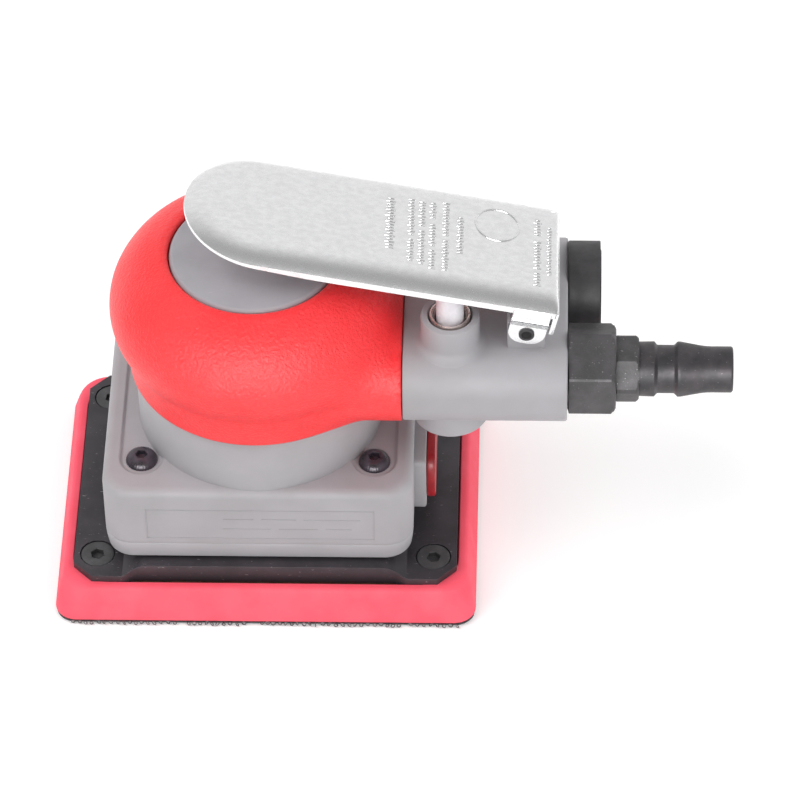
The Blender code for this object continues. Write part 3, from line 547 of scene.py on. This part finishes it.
def raised_lines(name, finish):
    """Fine ribs proud of the front wall, each a flat-topped bar with sloping
    sides: a frame of four, and two rows of plain dashes."""
    bars = [((-26.0, 31.6), (27.3, 31.6)), ((-26.0, 22.2), (27.3, 22.2)), ((-26.0, 22.2), (-26.0, 31.6)),
            ((27.3, 22.2), (27.3, 31.6))]
    for height, dashes in ((28.6, ((-8, -1), (1, 9), (11, 24))), (25.4, ((-8, 3), (5, 14), (16, 22)))):
        bars += [((start, height), (end, height)) for start, end in dashes]
    box = ((3, 2, 1, 0), (4, 5, 6, 7), (0, 1, 5, 4), (1, 2, 6, 5), (2, 3, 7, 6), (3, 0, 4, 7))
    corners, faces = [], []
    for (x0, z0), (x1, z1) in bars:
        faces += [[len(corners) + i for i in face] for face in box]
        for spread, proud in ((0.17, -0.3), (0.06, 0.12)):
            y = -30.0 - proud
            corners += [(x0 - spread, y, z0 - spread), (x1 + spread, y, z0 - spread),
                        (x1 + spread, y, z1 + spread), (x0 - spread, y, z1 + spread)]
    mesh = bpy.data.meshes.new(name)
    mesh.from_pydata((np.array(corners) * MM).tolist(), [], faces)
    return finished(name, mesh, finish, 20)


frame_lines = raised_lines("skirt_front_ribs", grey)
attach(frame_lines, "housing")

collar = lathe("skirt_collar", eased([(27.3, 30.0), (29.0, 34.0), (29.0, 53.7), (27.3, 53.7), (27.3, 31.0)], 0.3, 4),
               grey, steps=120)
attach(collar, "housing")


def block(name, low, high, corner, finish, axis=0, edge=0.5):
    """A box whose section across an axis has round corners, with its two end
    faces' edges broken. low and high are its corners."""
    low, high = np.array(low, float), np.array(high, float)
    across = [i for i in range(3) if i != axis]
    size, middle = (high - low)[across], ((high + low) / 2)[across]
    stations = [(edge, 0.0), (edge * 0.3, edge * 0.3), (0.0, edge)]
    stations = [(inset, low[axis] + depth) for inset, depth in stations] + \
               [(inset, high[axis] - depth) for inset, depth in reversed(stations)]
    rows = []
    for inset, at in stations:
        flat = round_plan(size[0] - 2 * inset, size[1] - 2 * inset, corner - inset * 0.5, 6, middle)
        row = np.empty((len(flat), 3))
        row[:, across], row[:, axis] = flat, at
        rows.append(row)
    return skin(name, np.stack(rows), finish)


FLANGE_X = 39.2  # the flange's outer face
flange = block("dust_port_flange", (34.0, -15.5, 17.4), (FLANGE_X, 15.5, 33.2), 1.2, grey)
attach(flange, "housing")


# ---------------------------------------------------------------- port plug
# A red moulded cap in the dust port, shut while no bag is fitted. Its red is
# painted dark: a painted shadow of the handle over it. It keeps the imported
# node's box beyond the flange and gains rounded edges.

# Dark reds: the handle's shadow painted into the cap's colour.
plug_red_painted_shadow = moulded("plug_red_painted_shadow", linear(150, 26, 34), linear(176, 36, 44), 5.0, 0.5, 0.03, (0.42, 0.34))
box_low, box_high = (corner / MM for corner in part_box("port_plug"))
plug = block("port_plug_cap", (FLANGE_X, *box_low.yz), box_high, 3.4, plug_red_painted_shadow)
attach(plug, "housing")
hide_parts("port_plug")


# ---------------------------------------------------------------- grip cover
# A thick rubber mushroom pulled over the motor, with a sleeve that grips the
# handle. It is one moulding, so the dome flows into the sleeve; its surface has
# the pebbled grain of soft rubber.

BAR_Z = 62.75  # the height of the handle's axis
rubber_red = moulded("grip_rubber", linear(250, 46, 51), linear(253, 54, 59), 12.0, 0.8, 0.4, (0.42, 0.34), fine=1)


def dome_and_sleeve():
    """A ray from (8, 0, 68) through each point of the dome's own surface of
    revolution runs on to the zero of a smooth minimum of two distances: to the
    dome's section, and to the rounded bar of the sleeve."""
    section = eased([(19.95, 84.5), (20.05, 86.6), (20.6, 86.95), (22.0, 86.9), (26.8, 84.6), (30.8, 81.0),
                     (33.6, 76.0), (34.4, 71.0), (33.6, 66.4), (31.3, 62.4), (30.7, 58.5), (30.2, 53.2)],
                    (0.3, 0.3, 0.6, 3, 3, 3, 3, 2.4, 1.2, 2), 4)
    run = np.concatenate([[0], np.cumsum(np.linalg.norm(np.diff(section, axis=0), axis=1))])
    even = np.concatenate([np.linspace(0, 3.2, 9)[:-1], np.linspace(3.2, run[-1], 105)])
    section = np.column_stack([np.interp(even, run, section[:, k]) for k in (0, 1)])
    around = np.linspace(0, 2 * math.pi, 300, endpoint=False)
    dome = np.stack([section[:, :1] * np.cos(around), section[:, :1] * np.sin(around),
                     np.repeat(section[:, 1:], 300, axis=1)], axis=-1)
    centre = np.array([8.0, 0.0, 68.0])
    rays = dome - centre
    sleeve_half, sleeve_round, fillet = np.array([25.8, 9.35]), 7.8, 5.0
    lower = section[9:]  # below the rim of the cap's opening
    tangent = np.gradient(lower, axis=0)
    tangent /= np.linalg.norm(tangent, axis=1)[:, None]

    def outside(points):
        radius = np.hypot(points[..., 0], points[..., 1])
        height = points[..., 2]
        row = np.clip(np.searchsorted(-lower[:, 1], -height), 1, len(lower) - 1)
        share = np.clip((lower[row - 1, 1] - height) / (lower[row - 1, 1] - lower[row, 1]), 0, 1)
        edge = lower[row - 1, 0] + share * (lower[row, 0] - lower[row - 1, 0])
        bank = np.abs(tangent[row, 1])
        dome_gap = np.maximum((radius - edge) * bank, height - 86.93)
        off = np.abs(points[..., [1, 2]] - (0, BAR_Z)) - sleeve_half + sleeve_round
        bar_gap = (np.hypot(np.maximum(off[..., 0], 0), np.maximum(off[..., 1], 0)) - sleeve_round
                   + np.minimum(np.maximum(off[..., 0], off[..., 1]), 0))
        bar_gap = np.maximum(bar_gap, np.abs(points[..., 0] - 24.0) - 18.0)
        share = np.clip(0.5 + 0.5 * (bar_gap - dome_gap) / fillet, 0, 1)
        return bar_gap * (1 - share) + dome_gap * share - fillet * share * (1 - share)

    near, far = np.full(dome.shape[:2], 0.9), np.full(dome.shape[:2], 8.0)
    for _ in range(26):
        middle = (near + far) / 2
        out = outside(centre + rays * middle[..., None]) > 0
        near, far = np.where(out, near, middle), np.where(out, middle, far)
    reach = ((near + far) / 2)[..., None]
    settle = np.clip((np.arange(len(section)) - 8) / 5, 0, 1)[:, None, None]
    shell = centre + rays * (1 + (reach - 1) * settle)
    return skin("grip_dome", shell, rubber_red)


cover = dome_and_sleeve()
trim = bmesh.new()
trim.from_mesh(cover.data)
for spot, way in (((0.03405, 0, 0), (1, 0, 0)), ((0, 0, 0.05402), (0, 0, -1))):
    sliced = bmesh.ops.bisect_plane(trim, geom=trim.verts[:] + trim.edges[:] + trim.faces[:], plane_co=spot,
                                    plane_no=way, clear_outer=True)
    rim = [edge for edge in sliced["geom_cut"] if isinstance(edge, bmesh.types.BMEdge)]
    bmesh.ops.holes_fill(trim, edges=rim)
trim.to_mesh(cover.data)
trim.free()
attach(cover, "housing")
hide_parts("grip_cover")


# ---------------------------------------------------------------- top cap
# A light grey disc pressed into the cover's opening, faintly scratched by use.

cap_grey = worn("cap_grey", linear(160, 158, 163), linear(200, 200, 203), linear(166, 164, 169), 0.35,
                (0.62, 0.52), 0.0, 9.0, (0.12, 1, 1), 0.03)
cap_profile = eased([(0.0, 87.1), (19.0, 87.1), (19.7, 86.4), (19.7, 83.8), (5.7, 83.8), (5.7, 79.4), (0.0, 79.4)],
                    (0.2, 0.7, 0.2, 0.2, 0.2), 4)
cap = lathe("cap_disc", cap_profile, cap_grey, steps=140)
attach(cap, "housing")
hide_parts("top_cap")


# ---------------------------------------------------------------- handle
# The bare end of the motor's moulding: a rounded bar with a boss for the valve
# above, one for the regulator below and a block that carries the lever's pin.

BAR_WIDE, BAR_HIGH, BAR_ROUND = 51.2, 18.3, 7.6
VALVE = (45.2, -13.0)  # the upright axis of the valve and the regulator


def bar_height(y):
    """The top of the handle's bar: flat, then a quarter circle at each side."""
    over = np.maximum(np.abs(y) - (BAR_WIDE / 2 - BAR_ROUND), 0)
    return BAR_Z + BAR_HIGH / 2 - BAR_ROUND + np.sqrt(np.maximum(BAR_ROUND ** 2 - over ** 2, 0))


bar_rows = []
for inset, x in ((3.3, 20.0), (3.3, 34.2), (0.5, 34.25), (0.12, 34.42), (0.0, 34.8), (0.0, 53.0), (0.0, 71.6),
                 (0.1, 71.95), (0.4, 72.2), (3.0, 72.2)):
    flat = round_plan(BAR_WIDE - 2 * inset, BAR_HIGH - 2 * inset, max(BAR_ROUND - inset, 0.5), 14, (0, BAR_Z))
    bar_rows.append(np.column_stack([np.full(len(flat), x), flat]))
bar = skin("handle_bar", np.stack(bar_rows), grey)
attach(bar, "housing")
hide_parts("motor_housing")


def valve_boss():
    """Loops round the valve's axis. Down the flank the radius is 6.8; at the
    foot it widens as a quarter circle of 2 mm and the loop lies on the bar."""
    around = np.linspace(0, 2 * math.pi, 96, endpoint=False)
    rows = [(5.05, 72.0, 0.0), (5.05, 79.5, 0.0), (5.3, 79.95, 0.0), (6.2, 80.0, 0.0), (6.65, 79.85, 0.0),
            (6.8, 79.4, 0.0), (6.8, 76.0, 0.0)]
    rows += [(6.8 + 2.0 * (1 - math.sin(turn)), 2.0 * (1 - math.cos(turn)), 1.0)
             for turn in np.linspace(math.pi / 2, 0.1, 7)]
    rows.append((8.9, -1.0, 1.0))
    grid = []
    for radius, height, lies in rows:
        x, y = VALVE[0] + radius * np.cos(around), VALVE[1] + radius * np.sin(around)
        grid.append(np.column_stack([x, y, height + lies * bar_height(y)]))
    return skin("valve_boss", np.stack(grid), grey, "open", 45)


boss = valve_boss()
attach(boss, "housing")

boss_profile = eased([(0.0, 58.0), (8.6, 58.0), (9.0, 57.0), (9.0, 48.9), (8.6, 48.5), (0.0, 48.5)],
                     (0.4, 0.4, 0.3, 0.3), 4)
regulator_boss = lathe("regulator_boss", boss_profile, grey, VALVE)
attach(regulator_boss, "housing")

pivot_block = block("pivot_block", (58.3, -15.8, 66.0), (67.0, 15.8, 80.9), 1.1, grey, axis=1, edge=0.45)
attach(pivot_block, "housing")


# ---------------------------------------------------------------- throttle valve
# A white acetal pin with a domed end slides in a steel bush; under it are a
# rubber seat ring, a brass poppet and its spring. The flow dial is turned from
# below. The posts that hold the pad's heading share the seat ring's rubber.

acetal = moulded("white_acetal", linear(232, 228, 234), linear(244, 242, 246), 3.0, 0.3, 0.01, (0.3, 0.24))
pin_profile = eased([(0.0, 89.9), (1.2, 89.75), (2.4, 88.9), (3.2, 87.2), (3.2, 64.9), (1.5, 64.9), (1.5, 61.2),
                     (0.0, 61.2)], (0.6, 0.9, 0.9, 0.2, 0.2, 0.2), 4)
pin = lathe("valve_pin_rod", pin_profile, acetal, VALVE, 64)
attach(pin, "valve")
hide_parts("valve_pin")


bush_steel = worn("bush_steel", linear(206, 192, 186), linear(244, 240, 236), linear(226, 214, 208), 0.5,
                  (0.3, 0.22), 0.9, 2.0)
bush_profile = eased([(3.5, 67.8), (4.75, 67.8), (4.75, 80.15), (4.25, 80.2), (3.7, 79.3), (3.5, 78.9), (3.5, 68.0)],
                     0.12, 2)
bush = lathe("valve_bush_ring", bush_profile, bush_steel, VALVE, 64)
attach(bush, "housing")
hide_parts("valve_bush")


def coiled_wire(name, finish):
    """A wire of 0.35 mm radius along a helix of radius 3.5 about the valve's
    axis: four turns from 51.3 up to 58.1."""
    turn = np.linspace(0, 8 * math.pi, 129)[:, None]
    tube = np.linspace(0, 2 * math.pi, 8, endpoint=False)[None]
    spread = 3.5 + 0.35 * np.cos(tube)
    grid = np.stack([VALVE[0] + spread * np.cos(turn), VALVE[1] + spread * np.sin(turn),
                     51.65 + 6.1 * turn / (8 * math.pi) + 0.35 * np.sin(tube)], axis=-1)
    return skin(name, grid, finish, crease=60)


spring_steel = moulded("spring_steel", linear(170, 168, 166), linear(200, 198, 196), 2.0, 0.3, 0.01, (0.34, 0.26), 1.0)
spring = coiled_wire("valve_coil", spring_steel)
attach(spring, "housing")
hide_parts("valve_spring")
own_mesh(spring)

black_matt = moulded("black_matt", linear(50, 49, 51), linear(62, 60, 62), 4.0, 0.5, 0.04, (0.62, 0.5))
rubber_black = moulded("rubber_black", linear(28, 27, 28), linear(42, 40, 42), 5.0, 0.4, 0.03, (0.75, 0.6))
kept("regulator_dial", black_matt)
kept("seat_oring", rubber_black)

post_profile = eased([(0.0, 14.75), (5.0, 14.75), (5.0, 16.7), (4.2, 19.7), (4.2, 29.5), (5.0, 32.5), (5.0, 34.5),
                      (2.3, 34.5), (2.3, 24.0), (0.0, 24.0)], 0.3, 2)
for number, (sx, sy) in enumerate(CORNERS, 1):
    post = lathe(f"isolator_rubber_{number}", post_profile, rubber_black, (sx * SCREW_X, sy * SCREW_Y), 32)
    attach(post, "housing")
    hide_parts(f"isolator_post_{number}")
    stud = lathe(f"isolator_stud_{number}", [(0.0, 9.6), (2.0, 9.6), (2.0, 14.6), (0.0, 14.6)], rubber_black,
                 (PAD_X + sx * SCREW_X, sy * SCREW_Y), 24)
    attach(stud, "pad")


# ---------------------------------------------------------------- lever
# Stainless sheet, 1.3 mm thick, pressed so that its edges roll down and then
# trimmed square. Two ears are folded down on a cross pin, and the rear is folded
# into a stop. Its flat top is brushed along its length.

brushed = moulded("brushed_steel", linear(232, 232, 233), linear(241, 241, 242), 1.1, 0.35, 0.008, (0.30, 0.23), 1.0,
                  (0.6, 1, 1), fine=2)
ROLL, TURN = 8.0, math.radians(45)  # the rolled edge's outer radius and sweep
LEVER_TOP = 9.77  # the level lever's flat top, over its pivot
PIVOT_X, PIVOT_Z, TILT = 62.75, 78.2, math.radians(12.2)


def tilted(grid):
    """Points of the level lever, turned about its pivot and put in place."""
    x, y, z = grid[..., 0], grid[..., 1], grid[..., 2]
    return np.stack([PIVOT_X + x * math.cos(TILT) + z * math.sin(TILT), y,
                     PIVOT_Z - x * math.sin(TILT) + z * math.cos(TILT)], axis=-1)


def laid(points):
    """A turned piece's points with its axis laid along Y through the pivot."""
    return points[:, [0, 2, 1]] + (PIVOT_X, 0, PIVOT_Z)


def moved(made, rule):
    """Every point of a piece, in mm, sent where a rule says."""
    points = np.array([point.co for point in made.data.vertices]) / MM
    made.data.vertices.foreach_set("co", (rule(points) * MM).ravel())


def lever_plan(inset, tail, height):
    """A half circle at the nose and a square tail, inset from 34.5 mm wide."""
    half, nose_x = 17.25 - inset, -64.35
    nose = np.linspace(math.pi / 2, 1.5 * math.pi, 65)
    left = np.column_stack([nose_x + half * np.cos(nose), half * np.sin(nose)])
    corner, far_corner = 0.9, 2.4
    right = tail - corner * (1 - np.sin(np.linspace(0, math.pi / 2, 6)))
    lower = np.column_stack([np.linspace(nose_x, tail - corner, 24)[1:-1], np.full(22, -half)])
    bend = np.column_stack([right, -half + corner * (1 - np.cos(np.linspace(0, math.pi / 2, 6)))])
    turn = np.linspace(math.pi / 2, 0, 6)
    far_bend = np.column_stack([tail - far_corner * (1 - np.sin(turn)), half - 0.6 * far_corner * (1 - np.cos(turn))])
    back = np.column_stack([np.full(9, tail), np.linspace(bend[-1, 1], far_bend[0, 1], 11)[1:-1]])
    upper = np.column_stack([np.linspace(tail - far_corner, nose_x, 24)[1:-1], np.full(22, half)])
    return level(np.concatenate([left, lower, bend, back, far_bend, upper]), height)


def pressed_sheet():
    """Loops of the plan. With R the roll's radius and a its angle, a loop is
    inset by 8 sin 45 - R sin a and lies at 1.77 + R cos a; R is 8 for the top
    and 6.7 below. The tail rolls down too, on its own small radius. The
    trimmed edge narrows towards the nose by a smooth step."""
    middle, base, inner = ROLL * math.sin(TURN), LEVER_TOP - ROLL, 6.7

    def rolled(radius, angle, tail_radius, tail_end):
        height = base + radius * math.cos(angle)
        rise = np.clip((height - (base + radius - tail_radius)) / tail_radius, 0, 1)
        tail = tail_end - tail_radius * (1 - math.sqrt(1 - rise ** 2))
        return lever_plan(middle - radius * math.sin(angle), tail, height)

    rows = [lever_plan(8.5, 1.0, base + inner), lever_plan(6.2, 2.2, base + inner)]
    rows += [rolled(inner, angle, 1.05, 4.5) for angle in np.linspace(0, math.radians(54), 8)]
    rows += [lever_plan(0.10, 5.7, 5.66), lever_plan(0.0, 5.8, 5.78)]
    rows += [rolled(ROLL, angle, 2.35, 5.8) for angle in np.linspace(TURN, 0, 14)]
    rows += [lever_plan(6.3, 2.6, LEVER_TOP), lever_plan(8.5, 1.0, LEVER_TOP)]
    sheet = np.stack(rows)
    share = np.clip((-46.0 - sheet[..., 0]) / 28.0, 0, 1)
    sheet[..., 2] = np.maximum(sheet[..., 2], 5.72 + 0.95 * share * share * (3 - 2 * share))
    return skin("lever_sheet", tilted(sheet), brushed, crease=28)


def pressed_lines(name, finish):
    """Plain hatching and a ring on the flat top, 0.25 mm high. A column of
    hatching is a row of short bars across the lever, at a pitch of 0.95 mm with
    gaps; a bar's sides slope in. The ring is a low torus."""
    bars = []
    for x, half, runs in ((-34.2, 1.1, ((-6.5, 10.5),)), (-29.3, 0.75, ((-9.5, -2.5), (-1, 11))),
                          (-26.8, 0.75, ((-10, 1), (2.5, 11))), (-24.3, 0.75, ((-11, -5), (-3.5, 4), (5.5, 11))),
                          (-21.2, 0.75, ((-11, -1), (0.5, 11))), (-17.8, 0.75, ((-4.5, 7.5),)),
                          (0.3, 0.8, ((-11, -7), (-5.5, 4), (5.5, 11))), (3.1, 0.5, ((-7, 8.5),))):
        for start, end in runs:
            bars += [(x, half * (0.75 + 0.25 * math.sin(17 * y + x)), y) for y in np.arange(start, end, 0.95)]
    corners, faces = [], []
    for x, half, y in bars:
        first = len(corners)
        for spread, height in ((0.16, 9.7), (0.10, 9.97), (0.02, 10.0)):
            corners += [(x - half - spread, y - 0.12 - spread, height), (x + half + spread, y - 0.12 - spread, height),
                        (x + half + spread, y + 0.12 + spread, height), (x - half - spread, y + 0.12 + spread, height)]
        for low in (first, first + 4):
            faces += [[low + i, low + (i + 1) % 4, low + 4 + (i + 1) % 4, low + 4 + i] for i in range(4)]
        faces += [[first + i for i in (3, 2, 1, 0)], [first + 8 + i for i in range(4)]]
    around, tube = torus_angles(64, 8)
    spread = 5.1 + 0.26 * np.cos(tube)
    ring = np.stack([-9.2 + spread * np.cos(around), 6.4 + spread * np.sin(around), LEVER_TOP + 0.24 * np.sin(tube)],
                    axis=-1)
    faces += wrapped(64, 8, len(corners)).tolist()
    points = tilted(np.concatenate([np.array(corners), ring.reshape(-1, 3)]))
    mesh = bpy.data.meshes.new(name)
    mesh.from_pydata((points * MM).tolist(), [], faces)
    return finished(name, mesh, finish, 60)


ribs = pressed_lines("lever_ribs", brushed)
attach(ribs, "lever")

lever = pressed_sheet()
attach(lever, "lever")
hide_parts("lever")


def folded_ear(name, side):
    """A strip down the lever's side. Its section in Y and Z comes off the roll,
    bends at 6.6 mm and falls straight; its half width shrinks along a quarter
    circle at the lower corners."""
    side_y, foot, corner_radius = 17.5, -2.95, 3.4
    outer = eased([(14.6, 9.15), (17.35, 7.35), (side_y, 6.4), (side_y, 4.0), (side_y, foot)], (1.2, 0.9, 0.5), 6)
    outer = np.concatenate([outer[:-1], level(np.full((25, 1), side_y), np.linspace(4.0, foot, 26)[1:])])
    run = np.gradient(outer, axis=0)
    run /= np.linalg.norm(run, axis=1)[:, None]
    inward = np.column_stack([run[:, 1], -run[:, 0]])
    corner = np.maximum(corner_radius - (outer[:, 1] - foot), 0)
    half = 4.4 - (corner_radius - np.sqrt(np.maximum(corner_radius ** 2 - corner ** 2, 0.0)))
    rows = []
    for point, into, wide in zip(outer, inward, half):
        section = [(-wide, 0.12), (-wide + 0.12, 0), (wide - 0.12, 0), (wide, 0.12), (wide, 1.2), (-wide, 1.2)]
        rows.append([(x, side * (point + into * deep)[0], (point + into * deep)[1]) for x, deep in section])
    return skin(name, tilted(np.array(rows)), brushed, crease=40)


for name, side in (("lever_ear_front", -1), ("lever_ear_back", 1)):
    ear = folded_ear(name, side)
    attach(ear, "lever")

tab = block("lever_stop", (4.95, -17.0, 0.4), (6.1, 15.0, 7.2), 0.35, brushed, axis=1, edge=0.15)
moved(tab, tilted)
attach(tab, "lever")

pin_ends = eased([(0.0, -17.62), (1.2, -17.62), (1.25, -17.95), (1.8, -17.9), (1.8, 17.9), (1.25, 17.95), (1.2, 17.62),
                  (0.0, 17.62)], 0.05, 1)
cross_pin = lathe("lever_cross_pin", pin_ends, black_matt, steps=48)
moved(cross_pin, laid)
cross_pin.data.flip_normals()
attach(cross_pin, "housing")
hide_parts("lever_pin")

# A near-black disc in the pin's shallow end recess: painted shade standing in for the depth of a socket.
socket_painted_shade = moulded("socket_painted_shade", linear(8, 8, 9), linear(16, 15, 16), 2.0, 0.3, 0.01, (0.9, 0.8))
socket = lathe("pin_socket_painted_shade", [(0.0, -17.66), (1.22, -17.66), (1.22, -17.5), (0.0, -17.5)], socket_painted_shade, steps=48)
moved(socket, laid)
socket.data.flip_normals()
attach(socket, "housing")


# ---------------------------------------------------------------- air inlet
# A black-oxide bushing with a hexagon screws into the handle and takes a
# hardened quick-connect plug; a strainer disc sits between them. The plug's nose
# is worn where the coupler grips it.

INLET = (-13.0, BAR_Z)  # Y and Z of the inlet's axis


def hexagon_bar(name, flats, corner, rows, finish, turn=0.0):
    """Loops along X of a hexagon whose corners are turned to a radius: at each
    station the radius is the least of the flat's, the corner's and the row's."""
    around = np.linspace(0, 2 * math.pi, 240, endpoint=False)
    flat = np.minimum(hexagon_radius(flats, around), corner)
    grid = []
    for x, limit in rows:
        radius = np.minimum(flat, limit)
        grid.append(np.column_stack([np.full(240, x), INLET[0] + radius * np.cos(around + turn),
                                     INLET[1] + radius * np.sin(around + turn)]))
    return skin(name, np.stack(grid), finish, crease=18)


cast_black = worn("bushing_oxide", linear(75, 74, 75), linear(196, 192, 194), linear(87, 85, 87), 0.8, (0.58, 0.5), 0.5,
                  5.0, (1, 1, 1), 0.09, 0.5)
bushing = hexagon_bar("bushing_hexagon", 19.0, 10.78,
                      [(58.0, 6.5), (72.2, 6.5), (72.25, 9.4), (72.6, 20), (82.2, 20), (82.3, 10.8), (83.0, 10.0),
                       (83.4, 9.2), (83.4, 6.4), (83.2, 6.3)], cast_black)
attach(bushing, "housing")
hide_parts("inlet_bushing")

plug_hex = hexagon_bar("plug_hexagon", 14.0, 7.75,
                       [(83.0, 6.4), (83.3, 7.2), (83.5, 7.6), (83.6, 20), (88.0, 20), (88.3, 7.5), (88.7, 7.0),
                        (88.7, 5.5)], cast_black, math.radians(28))
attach(plug_hex, "housing")

plug_black = worn("plug_oxide", linear(59, 58, 60), linear(182, 168, 174), linear(76, 72, 75), 0.6, (0.5, 0.4), 0.5,
                  4.0, (1, 1, 1), 0.02, 0.4)
nose_profile = eased([(4.6, 83.0), (6.3, 88.0), (6.4, 92.2), (5.6, 92.9), (5.6, 96.8), (6.4, 97.6), (6.4, 98.2),
                      (5.35, 104.0), (5.35, 110.0), (5.0, 110.4), (3.3, 110.4), (2.9, 110.0), (2.9, 84.0)],
                     (0.3, 0.15, 0.15, 0.2, 0.15, 0.15, 1.5, 0.2, 0.3, 0.2, 0.2), 3)
nose = lathe("plug_nose", nose_profile, plug_black, INLET, crease=40, axis="X")
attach(nose, "housing")
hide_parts("plug_nipple")
strainer_steel = moulded("strainer_steel", linear(150, 148, 146), linear(190, 188, 186), 2.0, 0.3, 0.02,
                         (0.4, 0.3), 1.0)
kept("inlet_strainer", strainer_steel)


# ---------------------------------------------------------------- muffler
# A black moulded sleeve pushed into the handle's rear bore, packed with
# open-cell foam.

sleeve_profile = eased([(9.8, 75.6), (9.8, 79.8), (11.38, 79.8), (11.5, 79.65), (11.5, 72.5), (11.2, 72.22),
                        (7.1, 72.22), (7.1, 60.0), (6.1, 60.0), (6.1, 75.6)], 0.1, 2)
sleeve = lathe("muffler_tube", sleeve_profile, black_matt, (13.0, BAR_Z), 128, axis="X")
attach(sleeve, "housing")
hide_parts("muffler_sleeve")

foam_black = moulded("muffler_open_foam", linear(20, 20, 21), linear(60, 58, 60), 0.9, 0.7, 0.5, (0.95, 0.85), fine=3)
kept("muffler_foam", foam_black)


# ---------------------------------------------------------------- inside
# The air motor under the cover: ground steel shafts and bearings, a cast
# cylinder and end plates, and vanes of laminated fibre.

ground = moulded("ground_steel", linear(160, 158, 156), linear(196, 194, 192), 4.0, 0.3, 0.01, (0.32, 0.24), 1.0)
cast = moulded("cast_alloy", linear(150, 150, 150), linear(176, 176, 176), 6.0, 0.6, 0.05, (0.5, 0.4), 0.9)
fibre = moulded("vane_fibre", linear(96, 62, 40), linear(130, 88, 58), 3.0, 0.3, 0.02, (0.7, 0.6))
brass = moulded("brass", linear(190, 150, 80), linear(216, 178, 104), 3.0, 0.3, 0.01, (0.35, 0.28), 1.0)
for name, finish in (("crankshaft", ground), ("rotor", ground), ("spindle_bearing", ground), ("lower_bearing", ground),
                     ("upper_bearing", ground), ("pad_spindle", ground), ("clamp_ring", ground),
                     ("lower_end_plate", cast), ("upper_end_plate", cast), ("cylinder", cast), ("spindle_screw", oxide),
                     ("valve_poppet", brass)):
    kept(name, finish)
for number in range(1, 6):
    kept(f"vane_{number}", fibre)
